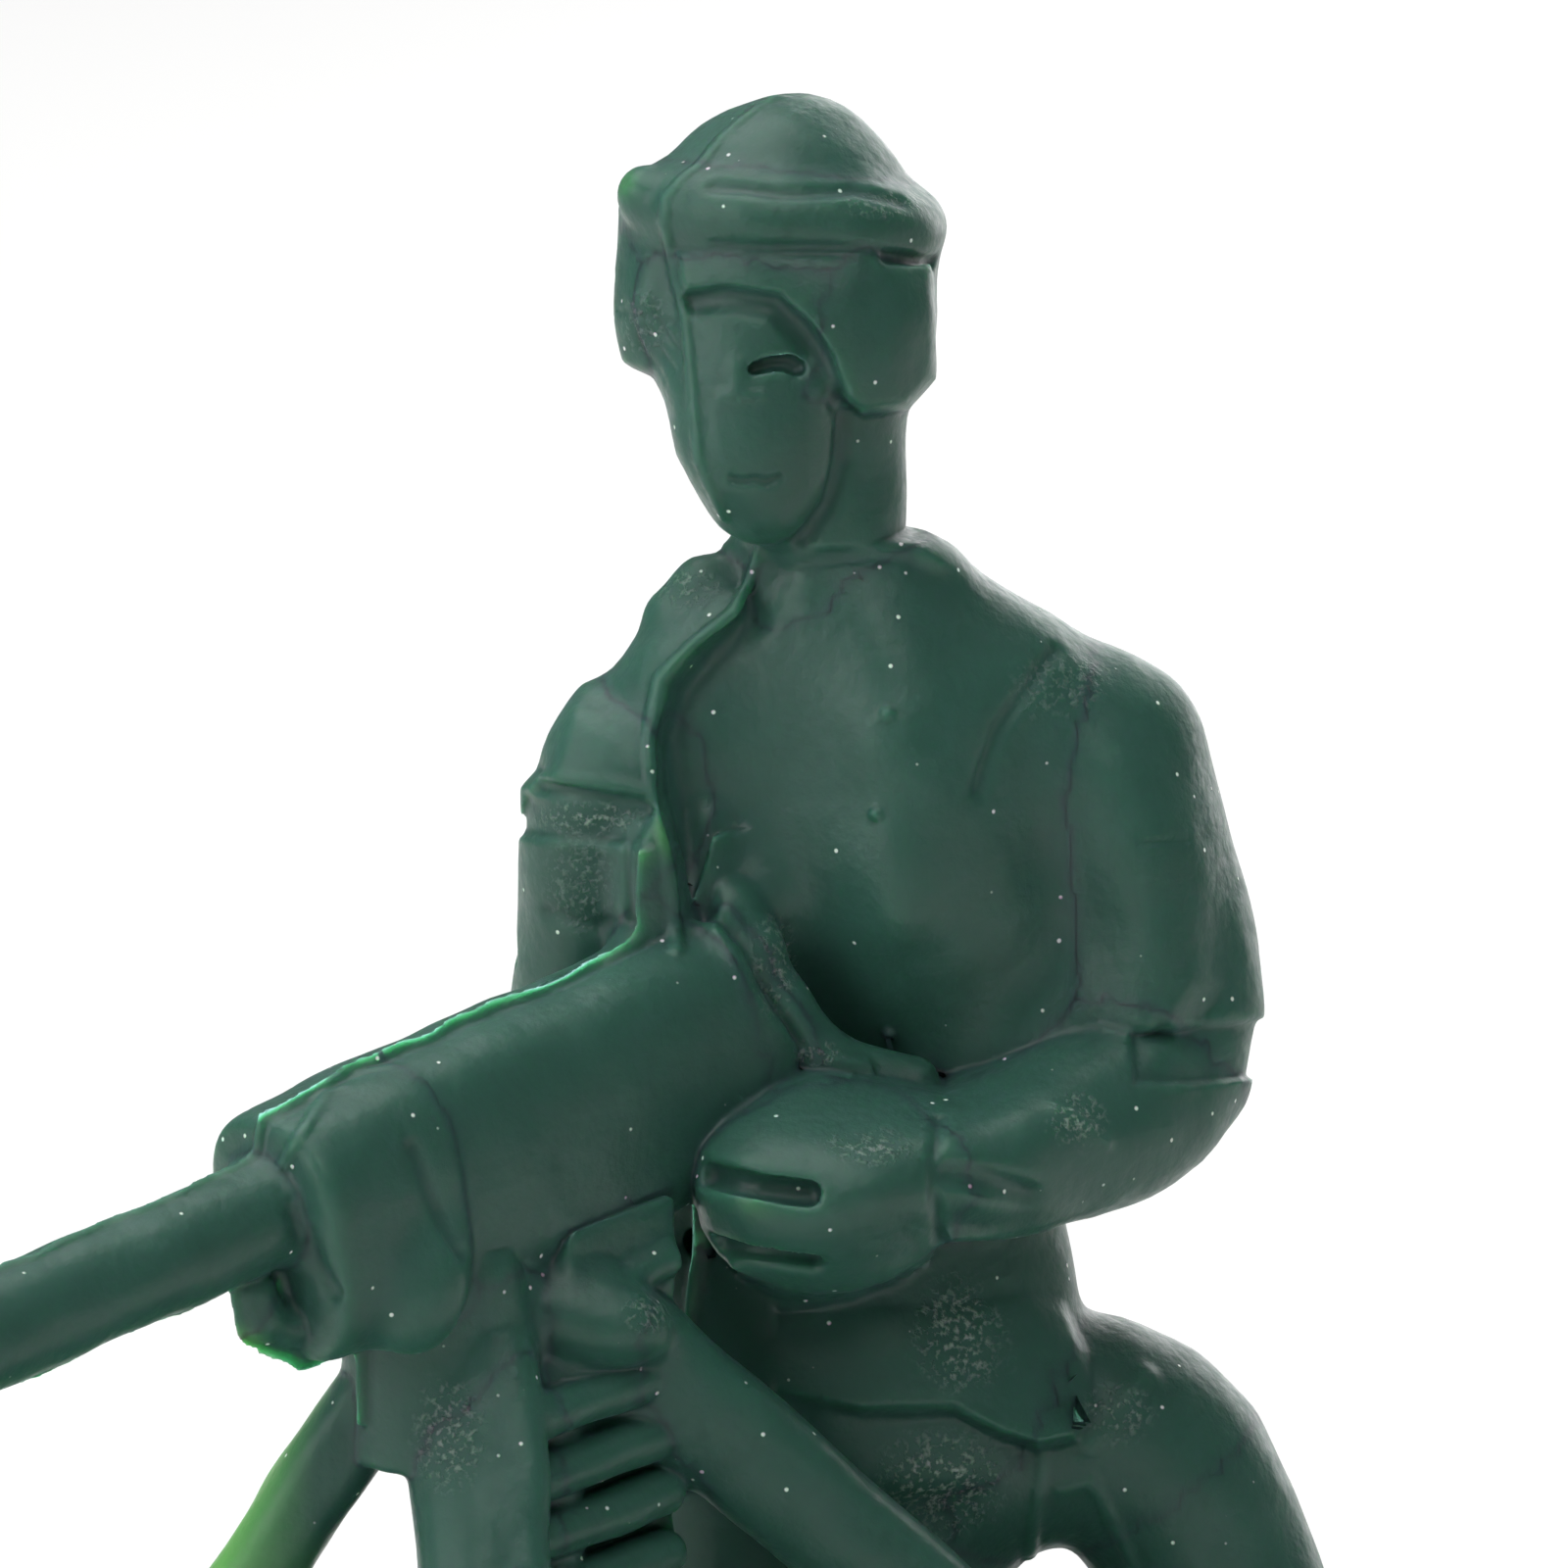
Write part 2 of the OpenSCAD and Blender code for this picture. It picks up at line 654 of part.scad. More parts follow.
// Tripod: saddle under the receiver, and the three legs
saddle = gun_point(saddle_along, 0, receiver_bottom);
saddle_top = saddle.z + 0.4 * saddle_height;
saddle_bottom = saddle.z - saddle_height;
front_leg_height = saddle_bottom + 0.5 * saddle_height;
near_leg_top = [saddle.x, saddle.y - 0.25 * saddle_width, front_leg_height];
far_leg_top = [saddle.x - 0.2 * saddle_length, saddle.y + 0.25 * saddle_width, front_leg_height];
near_foot = [saddle.x - near_foot_front, saddle.y - near_foot_side, base_thickness];
far_foot = [saddle.x - far_foot_front, saddle.y + far_foot_side, base_thickness];
rear_foot = [saddle.x + rear_foot_back, saddle.y - rear_foot_side, base_thickness];
rear_leg_crossing = gun_point(rear_leg_along, -0.35 * receiver_width, receiver_bottom - rear_leg_drop);
rear_leg_top = rear_leg_crossing + rear_leg_seat * unit(rear_leg_crossing - rear_foot);

foot_key_root = 0.1;

module foot_key(foot, grow = 0) {
    peg(foot, -upright, crosswise, grow, foot_key_root);
}

module saddle_form(grow = 0) {
    limb([
        [[saddle.x, saddle.y, saddle_bottom], upright, saddle_width / 2, saddle_length / 2],
        [[saddle.x, saddle.y, saddle_top], upright, saddle_width / 2, saddle_length / 2]
    ], crosswise, grow, boxy_section);
}

module leg_form(top, foot, width, grow = 0) {
    d = unit(foot - top);
    t = leg_thickness / 2;
    limb([
        [top, d, width / 2, t],
        [between(top, foot, 1 - 1.5 * leg_thickness / norm(foot - top)), d, 0.9 * width / 2, t],
        [foot, -upright, 0.9 * width / 2, 0.9 * width / 2]
    ], cross(d, unit(cross(upright, d))), grow, boxy_section);
}

module near_leg_form(grow = 0) {
    leg_form(near_leg_top, near_foot, front_leg_width, grow);
}

module far_leg_form(grow = 0) {
    leg_form(far_leg_top, far_foot, front_leg_width, grow);
}

module rear_leg_form(grow = 0) {
    leg_form(rear_leg_top, rear_foot, rear_leg_width, grow);
}

// One module for each piece
module base() {
    color(plastic)
        difference() {
            linear_extrude(base_thickness)
                offset(base_corner, $fn = 64)
                square([base_length - 2 * base_corner, base_width - 2 * base_corner], center = true);
            for (foot = [near_foot, far_foot, rear_foot])
                foot_key(foot, peg_clearance);
            boot_key(left_ankle, toe_direction, peg_clearance);
            boot_key(right_ankle, back_direction, peg_clearance);
        }
}

module cap_crown() {
    color(plastic)
        difference() {
            crown_form();
            cap_key(peg_clearance);
        }
}

module cap_brim() {
    color(plastic)
        difference() {
            brim_form();
            crown_form(seam);
            head_form(seam);
        }
}

module left_ear_flap() {
    color(plastic)
        ear_flap(1);
}

module right_ear_flap() {
    color(plastic)
        ear_flap(-1);
}

module head() {
    color(plastic) {
        head_form();
        cap_key();
    }
}

module torso() {
    color(plastic)
        difference() {
            torso_form();
            head_form(seam);
            left_upper_arm_form(seam);
            left_forearm_form(seam);
            right_upper_arm_form(seam);
            right_forearm_form(seam);
            receiver_form(seam);
            waist_key(peg_clearance);
        }
}

module jacket_skirt() {
    color(plastic) {
        skirt_form();
        waist_key();
    }
}

module left_upper_arm() {
    color(plastic) {
        left_upper_arm_form();
        left_elbow_key();
    }
}

module left_forearm() {
    color(plastic)
        difference() {
            union() {
                left_forearm_form();
                left_wrist_key();
            }
            left_elbow_key(peg_clearance);
        }
}

module left_hand() {
    color(plastic)
        difference() {
            left_hand_form();
            left_wrist_key(peg_clearance);
            receiver_form(seam);
            back_plate_form(seam);
        }
}

module right_upper_arm() {
    color(plastic)
        difference() {
            union() {
                right_upper_arm_form();
                right_elbow_key();
            }
            receiver_form(seam);
            back_plate_form(seam);
        }
}

module right_forearm() {
    color(plastic)
        difference() {
            union() {
                right_forearm_form();
                right_wrist_key();
            }
            right_elbow_key(peg_clearance);
            receiver_form(seam);
        }
}

module right_hand() {
    color(plastic)
        difference() {
            right_hand_form();
            right_wrist_key(peg_clearance);
            receiver_form(seam);
            housing_form(seam);
        }
}

module left_thigh() {
    color(plastic)
        difference() {
            union() {
                left_thigh_form();
                left_knee_key();
            }
            skirt_form(seam);
        }
}

module left_shin() {
    color(plastic)
        difference() {
            left_shin_form();
            left_thigh_form(seam);
            left_knee_key(peg_clearance);
        }
}

module left_boot() {
    color(plastic)
        difference() {
            union() {
                boot_form(left_ankle, toe_direction);
                boot_key(left_ankle, toe_direction);
            }
            left_shin_form(seam);
        }
}

module right_thigh() {
    color(plastic)
        difference() {
            union() {
                right_thigh_form();
                right_knee_key();
            }
            skirt_form(seam);
        }
}

module right_shin() {
    color(plastic)
        difference() {
            right_shin_form();
            right_thigh_form(seam);
            right_knee_key(peg_clearance);
            ground();
        }
}

module right_boot() {
    color(plastic)
        difference() {
            union() {
                boot_form(right_ankle, back_direction);
                boot_key(right_ankle, back_direction);
            }
            right_shin_form(seam);
        }
}

module gun_receiver() {
    color(plastic) {
        receiver_form();
        housing_key();
    }
}

module gun_front_housing() {
    color(plastic)
        difference() {
            housing_form();
            housing_key(peg_clearance);
            at_gun()
                translate([-receiver_length - housing_length, 0, 0])
                rotate([0, 90, 0])
                cylinder(d = spigot_d + 2 * peg_clearance, h = spigot_length + peg_clearance, $fn = 48);
        }
}

module gun_barrel() {
    front = receiver_length + housing_length;
    color(plastic)
        at_gun()
        translate([-front, 0, 0])
        rotate([0, -90, 0]) {
            cylinder(d = barrel_d, h = barrel_length, $fn = 48);
            translate([0, 0, -spigot_length])
                cylinder(d = spigot_d, h = spigot_length, $fn = 48);
        }
}

module gun_back_plate() {
    color(plastic)
        difference() {
            back_plate_form();
            torso_form(seam);
        }
}

module ammo_belt() {
    top = gun_point(belt_along, 0, receiver_bottom);
    count = floor(belt_length / belt_pitch);
    color(plastic)
        difference() {
            translate([top.x, top.y - belt_inset, top.z]) {
                translate([-belt_width / 2, -belt_thickness, -belt_length])
                    cube([belt_width, belt_thickness, belt_length + belt_thickness]);
                for (i = [0 : count - 1])
                    translate([-belt_width / 2, -belt_thickness, -(i + 0.5) * belt_pitch])
                        rotate([0, 90 - belt_slant, 0])
                        cylinder(r = belt_relief, h = belt_width, $fn = 24);
            }
            receiver_form(seam);
            near_leg_form(seam);
            rear_leg_form(seam);
        }
}

module tripod_head() {
    color(plastic)
        difference() {
            saddle_form();
            receiver_form(seam);
            housing_form(seam);
        }
}

module tripod_front_leg_near() {
    color(plastic)
        difference() {
            union() {
                near_leg_form();
                foot_key(near_foot);
            }
            saddle_form(seam);
        }
}

module tripod_front_leg_far() {
    color(plastic)
        difference() {
            union() {
                far_leg_form();
                foot_key(far_foot);
            }
            saddle_form(seam);
        }
}

module tripod_rear_leg() {
    color(plastic)
        difference() {
            union() {
                rear_leg_form();
                foot_key(rear_foot);
            }
            receiver_form(seam);
            saddle_form(seam);
        }
}

base();
cap_crown();
cap_brim();
left_ear_flap();
right_ear_flap();
head();
torso();
jacket_skirt();
left_upper_arm();
left_forearm();
left_hand();
right_upper_arm();
right_forearm();
right_hand();
left_thigh();
left_shin();
left_boot();
right_thigh();
right_shin();
right_boot();
gun_receiver();
gun_front_housing();
gun_barrel();
gun_back_plate();
ammo_belt();
tripod_head();
tripod_front_leg_near();
tripod_front_leg_far();
tripod_rear_leg();
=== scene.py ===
import math

import bpy
import numpy as np
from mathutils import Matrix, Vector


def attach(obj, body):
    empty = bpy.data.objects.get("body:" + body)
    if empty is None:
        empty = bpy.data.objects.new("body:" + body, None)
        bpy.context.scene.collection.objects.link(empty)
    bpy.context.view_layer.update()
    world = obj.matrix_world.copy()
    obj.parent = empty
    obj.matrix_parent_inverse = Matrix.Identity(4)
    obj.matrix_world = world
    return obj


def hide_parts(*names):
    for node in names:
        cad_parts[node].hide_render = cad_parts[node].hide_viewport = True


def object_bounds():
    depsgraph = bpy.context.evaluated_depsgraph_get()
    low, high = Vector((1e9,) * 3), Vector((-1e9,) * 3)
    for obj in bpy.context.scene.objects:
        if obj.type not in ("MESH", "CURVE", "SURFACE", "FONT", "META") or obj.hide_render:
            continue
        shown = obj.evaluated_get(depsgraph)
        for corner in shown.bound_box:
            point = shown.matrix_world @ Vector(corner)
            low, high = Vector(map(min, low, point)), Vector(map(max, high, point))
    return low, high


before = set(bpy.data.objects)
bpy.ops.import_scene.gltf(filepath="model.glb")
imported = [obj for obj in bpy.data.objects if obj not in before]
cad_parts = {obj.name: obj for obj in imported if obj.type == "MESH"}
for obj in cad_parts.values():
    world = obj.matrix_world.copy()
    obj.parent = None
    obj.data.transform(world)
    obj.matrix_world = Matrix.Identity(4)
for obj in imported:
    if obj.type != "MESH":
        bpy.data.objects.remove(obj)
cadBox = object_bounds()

import openvdb as vdb
from mathutils import Matrix, Vector
from mathutils.bvhtree import BVHTree

scene = bpy.context.scene
voxel = 0.07  # mm, step of the sculpting grid
band = 1.0  # mm, how far the distance field reaches from the skin
nodeNames = sorted(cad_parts)


# Camera: a long lens at the photo's angle, placed by the torso's upright axis
photo = {
    "pixels": 1600,
    "pixelsPerMm": 53.5,  # at the torso's axis
    "azimuth": -42.0,
    "elevation": 12.0,
    "axis": (4.0, 1.0, 0.0),  # mm, foot of the torso's axis
    "axisPixel": (860.0, 2214.0),  # that foot, below the frame's lower edge
    "distance": 400.0,  # mm, far enough for a nearly parallel view
    "sensor": 36.0,  # mm
}
turn, tilt = math.radians(photo["azimuth"]), math.radians(photo["elevation"])
viewBack = np.array((math.sin(turn) * math.cos(tilt), -math.cos(turn) * math.cos(tilt), math.sin(tilt)))
viewRight = np.array((math.cos(turn), math.sin(turn), 0.0))
viewUp = np.cross(viewBack, viewRight)
middle = photo["pixels"] / 2
viewTarget = (
    np.array(photo["axis"])
    + viewRight * (middle - photo["axisPixel"][0]) / photo["pixelsPerMm"]
    + viewUp * (photo["axisPixel"][1] - middle) / photo["pixelsPerMm"]
)
viewPoint = viewTarget + viewBack * photo["distance"]
focal = photo["pixelsPerMm"] * photo["distance"]  # pixels


def makeCamera():
    data = bpy.data.cameras.new("photo_view")
    data.sensor_width = photo["sensor"]
    data.lens = photo["sensor"] * focal / photo["pixels"]
    data.clip_start = 0.01
    camera = bpy.data.objects.new("photo_view", data)
    turned = Matrix([viewRight.tolist(), viewUp.tolist(), viewBack.tolist()]).transposed().to_4x4()
    camera.matrix_world = Matrix.Translation(Vector((viewPoint / 1000).tolist())) @ turned
    scene.collection.objects.link(camera)
    scene.camera = camera


makeCamera()


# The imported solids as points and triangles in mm
def nodeMesh(name):
    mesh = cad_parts[name].data
    mesh.calc_loop_triangles()
    points = np.empty(len(mesh.vertices) * 3, np.float32)
    mesh.vertices.foreach_get("co", points)
    corners = np.empty(len(mesh.loop_triangles) * 3, np.int32)
    mesh.loop_triangles.foreach_get("vertices", corners)
    return points.reshape(-1, 3) * 1000, corners.reshape(-1, 3)


def joinMeshes(names):
    points, triangles, owner, first = [], [], [], 0
    for name in names:
        p, t = nodeMesh(name)
        points.append(p)
        triangles.append(t + first)
        owner.append(np.full(len(t), nodeNames.index(name)))
        first += len(p)
    return np.vstack(points), np.vstack(triangles), np.concatenate(owner)


allPoints, allTriangles, triangleOwner = joinMeshes(nodeNames)
solids = BVHTree.FromPolygons(allPoints.tolist(), allTriangles.tolist())
nodeBox = {}
for nodeName in nodeNames:
    nodePoints = nodeMesh(nodeName)[0]
    nodeBox[nodeName] = (nodePoints.min(axis=0), nodePoints.max(axis=0))
print("solids read:", len(nodeNames))


# One distance field for the whole moulding, sculpted in small blocks
transform = vdb.createLinearTransform(voxelSize=voxel)
sculpt = vdb.FloatGrid(band)
sculpt.transform = transform


def readGrid(grid, at, size):
    field = np.empty(tuple(size), np.float32)
    grid.copyToArray(field, ijk=tuple(int(i) for i in at))
    return field


def openBlock(lo, hi):
    at = np.floor(np.asarray(lo) / voxel).astype(int)
    return {"at": at, "field": readGrid(sculpt, at, np.ceil(np.asarray(hi) / voxel).astype(int) - at + 1)}


def closeBlock(block):
    sculpt.copyFromArray(block["field"], ijk=tuple(int(i) for i in block["at"]), tolerance=0.0)


def window(block, lo, hi):
    # view of the part of a block between two corners, with its coordinates in mm
    first = np.maximum(np.floor(np.asarray(lo) / voxel).astype(int) - block["at"], 0)
    last = np.minimum(np.ceil(np.asarray(hi) / voxel).astype(int) - block["at"] + 1, block["field"].shape)
    last = np.maximum(first, last)
    part = tuple(slice(int(a), int(b)) for a, b in zip(first, last))
    steps = [((np.arange(a, b) + at) * voxel).astype(np.float32) for a, b, at in zip(first, last, block["at"])]
    return block["field"][part], np.meshgrid(*steps, indexing="ij", sparse=True), part


def reachAlong(place, origin, way):
    # how far a place, as x, y and z, lies from an origin along a direction
    x, y, z = place
    return (x - origin[0]) * way[0] + (y - origin[1]) * way[1] + (z - origin[2]) * way[2]


def segmentDistance(place, start, end):
    # distance to a straight line between two points, and where along it the nearest point lies, from 0 to 1
    x, y, z = place
    way = end - start
    t = np.clip(reachAlong(place, start, way) / max(float(way @ way), 1e-9), 0, 1)
    square = (x - start[0] - t * way[0]) ** 2 + (y - start[1] - t * way[1]) ** 2 + (z - start[2] - t * way[2]) ** 2
    return np.sqrt(square), t


def blurRadius(sigma, step):
    return max(0, int(round((math.sqrt(4 * (sigma / step) ** 2 + 1) - 1) / 2)))


def blur(field, radius):
    # three box passes stand for one Gaussian; the field loses three radii on every side
    span = 2 * radius + 1
    for axis in (0, 1, 2) * 3:
        total = np.moveaxis(np.cumsum(field, axis=axis, dtype=np.float32), axis, 0)
        mean = total[span - 1:].copy()
        mean[1:] -= total[:-span]
        mean /= span
        field = np.moveaxis(mean, 0, axis)
    return field


def smoothMin(a, b, reach):
    if reach <= 0:
        return np.minimum(a, b)
    mix = np.clip(0.5 + 0.5 * (b - a) / reach, 0, 1)
    return b + (a - b) * mix - reach * mix * (1 - mix)


# Groups that run into each other without a step, with how soft the mould left their edges
# soften: mm of rounding, fillet: mm of the hollow where a group meets the ones before it
castGroups = [
    {"nodes": ["base"], "soften": 0.1, "fillet": 0.0},
    {
        "nodes": [
            "torso", "jacket_skirt", "left_upper_arm", "left_forearm", "left_hand", "right_upper_arm",
            "right_forearm", "right_hand", "left_thigh", "left_shin", "left_boot", "right_thigh",
            "right_shin", "right_boot",
        ],
        "soften": 0.22,
        "fillet": 0.25,
    },
    {
        "nodes": ["head", "cap_crown", "cap_brim", "left_ear_flap", "right_ear_flap"],
        "soften": 0.24,
        "fillet": 0.35,
    },
    {
        "nodes": ["gun_receiver", "gun_front_housing", "gun_back_plate", "gun_barrel"],
        "soften": 0.16,
        "fillet": 0.2,
    },
    {
        "nodes": ["tripod_head", "tripod_front_leg_near", "tripod_front_leg_far", "tripod_rear_leg"],
        "soften": 0.12,
        "fillet": 0.3,
        "swell": 0.12,
    },
    {"nodes": ["ammo_belt"], "soften": 0.12, "fillet": 0.12},
]
seamFill = 0.06  # mm, closes the thin seams between solids of one group
tile, margin = 6.0, 0.8  # mm, blocks that the casting is worked in, and what they keep round a solid


def castGroup(group):
    points, triangles, _ = joinMeshes(group["nodes"])
    rough = vdb.FloatGrid.createLevelSetFromPolygons(
        points, triangles=triangles.astype(np.uint32), transform=transform, halfWidth=4.0)
    skinPoints, skinTriangles, skinQuads = rough.convertToPolygons(isovalue=seamFill, adaptivity=0.0)
    solid = vdb.FloatGrid.createLevelSetFromPolygons(
        skinPoints, triangles=skinTriangles, quads=skinQuads, transform=transform, halfWidth=band / voxel)
    step = int(round(tile / voxel))
    radius = blurRadius(group["soften"], voxel)
    pad = 3 * radius
    wanted = set()
    for name in group["nodes"]:
        lo, hi = nodeBox[name]
        first, last = (np.floor(corner / tile).astype(int) for corner in (lo - margin, hi + margin))
        wanted.update(tuple(int(i) for i in first + cell) for cell in np.ndindex(*(last - first + 1)))
    for cell in sorted(wanted):
        at = np.array(cell) * step
        field = readGrid(solid, at - pad, (step + 2 * pad,) * 3)
        if field.min() > band * 0.99:
            continue
        field = blur(field, radius) + (seamFill - group.get("swell", 0.0))
        before = readGrid(sculpt, at, (step,) * 3)
        closeBlock({"at": at, "field": np.minimum(smoothMin(before, field, group["fillet"]), band)})


for group in castGroups:
    castGroup(group)
    print("cast:", ", ".join(group["nodes"]))


# Places under the photo's pixels: on the skin, on an upright plane, or at a depth from the torso's axis
def pixelRay(pixel):
    return viewRight * (pixel[0] - middle) / focal - viewUp * (pixel[1] - middle) / focal - viewBack


def skinPoint(pixel, sink=0.0):
    ray = pixelRay(pixel)
    hit = skin["tree"].ray_cast(Vector(viewPoint.tolist()), Vector(ray.tolist()))[0]
    if hit is None:
        reach = viewPoint + ray * photo["distance"]
        hit = skin["tree"].find_nearest(Vector(reach.tolist()))[0]
    return np.array(hit) - viewBack * sink


def planePoint(pixel, y):
    ray = pixelRay(pixel)
    return viewPoint + ray * (y - viewPoint[1]) / ray[1]


def depthPoint(pixel, depth):
    across = viewRight * (pixel[0] - photo["axisPixel"][0]) + viewUp * (photo["axisPixel"][1] - pixel[1])
    return np.array(photo["axis"]) + across / photo["pixelsPerMm"] + viewBack * depth


def walk(points, step):
    # evenly spaced places along a chain, without its last point
    for a, b in zip(points[:-1], points[1:]):
        a, b = np.array(a, float), np.array(b, float)
        parts = max(1, int(np.linalg.norm(b - a) / step))
        for k in range(parts):
            yield a + (b - a) * k / parts


def skinPath(pixels, step=10.0, sink=0.0):
    return np.array([skinPoint(pixel, sink) for pixel in [*walk(pixels, step), pixels[-1]]])


def nearPath(points, step=0.3):
    return np.array([skin["tree"].find_nearest(Vector(spot.tolist()))[0] for spot in walk(points, step)])


def pathDistance(block, path, reach, jump=0.9):
    # nearest distance to a chain of points, left at reach where it is farther, with gaps where the chain jumps
    distance = np.full(block["field"].shape, reach, np.float32)
    for a, b in zip(path[:-1], path[1:]):
        if (b - a) @ (b - a) > jump * jump:
            continue
        _, place, part = window(block, np.minimum(a, b) - reach, np.maximum(a, b) + reach)
        np.minimum(distance[part], segmentDistance(place, a, b)[0], out=distance[part])
    return distance


def pathWindow(block, path, reach):
    field, _, part = window(block, path.min(axis=0) - reach, path.max(axis=0) + reach)
    distance = pathDistance({"at": block["at"] + [s.start for s in part], "field": field}, path, reach)
    return field, distance, distance < reach


def drawRidge(block, path, width, height):
    # a soft ridge along the path, or a groove where height is negative, gone at 2.6 widths
    field, distance, near = pathWindow(block, path, 2.6 * width)
    field[near] -= height * np.exp(-((distance[near] / width) ** 2))


def drawStroke(block, pixels, width, height):
    drawRidge(block, skinPath(pixels), width, height)


def drawFold(block, points, width, height):
    drawRidge(block, nearPath(points), width, height)


def cutSlot(block, pixels, radius, soft, sink=0.0):
    # a channel with a round bottom cut along a line of pixels
    field, distance, near = pathWindow(block, skinPath(pixels, sink=sink), radius + 2 * soft + 2 * voxel)
    field[near] = -smoothMin(-field[near], distance[near] - radius, soft)


def addRoll(block, pixels, radius, fillet, sink=0.0):
    # a round cord laid along a line of pixels and run into the skin
    field, distance, near = pathWindow(block, skinPath(pixels, sink=sink), radius + fillet + 2 * voxel)
    field[near] = smoothMin(field[near], distance[near] - radius, fillet)


viewAxes = np.array([viewRight, viewUp, viewBack])


def lump(block, pixel, radii, fillet, sink=0.0, depth=None, lean=0.0):
    # an egg under a pixel, behind the skin or at a depth; its axes are the photo's right, up and back, leaned in
    # the picture plane
    centre = skinPoint(pixel, sink) if depth is None else depthPoint(pixel, depth)
    c, s = math.cos(math.radians(lean)), math.sin(math.radians(lean))
    axes = np.array([[c, s, 0], [-s, c, 0], [0, 0, 1]]) @ viewAxes
    reach = max(radii) + fillet + 0.1
    field, place, _ = window(block, centre - reach, centre + reach)
    square = sum((reachAlong(place, centre, axis) / radius) ** 2 for axis, radius in zip(axes, radii))
    egg = ((np.sqrt(square) - 1) * min(radii)).astype(np.float32)
    field[...] = smoothMin(field, egg, fillet)


def limb(block, start, end, radii, fillet):
    # a tapered round bar run into the skin
    start, end = np.asarray(start, float), np.asarray(end, float)
    reach = max(radii) + fillet + 0.2
    field, place, _ = window(block, np.minimum(start, end) - reach, np.maximum(start, end) + reach)
    distance, t = segmentDistance(place, start, end)
    bar = distance - radii[0] - (radii[1] - radii[0]) * t
    field[...] = smoothMin(field, bar.astype(np.float32), fillet)


def limbChain(block, points, radius, fillet):
    for start, end in zip(points[:-1], points[1:]):
        limb(block, start, end, (radius, radius), fillet)


def outlineDistance(u, v, outline):
    # signed distance in pixels to a closed outline, negative inside
    best = None
    inside = np.zeros(np.broadcast(u, v).shape, bool)
    count = len(outline)
    for k in range(count):
        (ax, ay), (bx, by) = outline[k], outline[(k + 1) % count]
        ex, ey = bx - ax, by - ay
        t = np.clip(((u - ax) * ex + (v - ay) * ey) / (ex * ex + ey * ey), 0, 1)
        d = (u - ax - t * ex) ** 2 + (v - ay - t * ey) ** 2
        best = d if best is None else np.minimum(best, d)
        crosses = ((ay > v) != (by > v)) & (u < (bx - ax) * (v - ay) / ((by - ay) or 1e-9) + ax)
        inside ^= crosses
    return np.where(inside, -np.sqrt(best), np.sqrt(best))


def pixelsOf(place):
    u, v, away = (reachAlong(place, viewPoint, axis) for axis in (viewRight, viewUp, -viewBack))
    return middle + focal * u / away, middle - focal * v / away


def panel(block, outline, height, soft, depth=0.7):
    # raises the skin inside a photo outline, or sinks it where height is negative
    points = skinPath(list(outline) + [outline[0]], 30.0)
    field, place, _ = window(block, points.min(axis=0) - depth, points.max(axis=0) + depth)
    u, v = pixelsOf(place)
    edge = np.clip(0.5 - outlineDistance(u, v, outline) / photo["pixelsPerMm"] / (2 * soft), 0, 1)
    field -= (height * edge * edge * (3 - 2 * edge)).astype(np.float32)


# step and margin in pixels, slack, reach and fillet in mm; lean makes a distance of a depth, for sheets that lean
# about so much
sheetForm = {"step": 6.0, "margin": 30.0, "slack": 0.3, "reach": 0.6, "fillet": 0.1, "lean": 0.85}


def depthSheet(marks, outline):
    # a smooth sheet through marks of (pixel x, pixel y, depth), sampled every few pixels over the outline
    marks = np.array(marks, float)
    places = marks[:, :2] / 100.0
    count = len(marks)
    gaps = np.linalg.norm(places[:, None] - places[None], axis=2)
    plane = np.column_stack([np.ones(count), places])
    system = np.block([[gaps ** 3 + 1e-3 * np.eye(count), plane], [plane.T, np.zeros((3, 3))]])
    weights = np.linalg.solve(system, np.concatenate([marks[:, 2], np.zeros(3)]))
    low = np.min(outline, axis=0) - sheetForm["margin"]
    high = np.max(outline, axis=0) + sheetForm["margin"]
    across, down = (np.arange(low[k], high[k], sheetForm["step"]) for k in (0, 1))
    spots = np.stack(np.meshgrid(across, down, indexing="ij"), axis=-1).reshape(-1, 2) / 100.0
    reach = np.linalg.norm(spots[:, None] - places[None], axis=2)
    sheet = reach ** 3 @ weights[:count] + np.column_stack([np.ones(len(spots)), spots]) @ weights[count:]
    sheet = np.clip(sheet, marks[:, 2].min() - sheetForm["slack"], marks[:, 2].max() + sheetForm["slack"])
    return low, sheet.reshape(len(across), len(down))


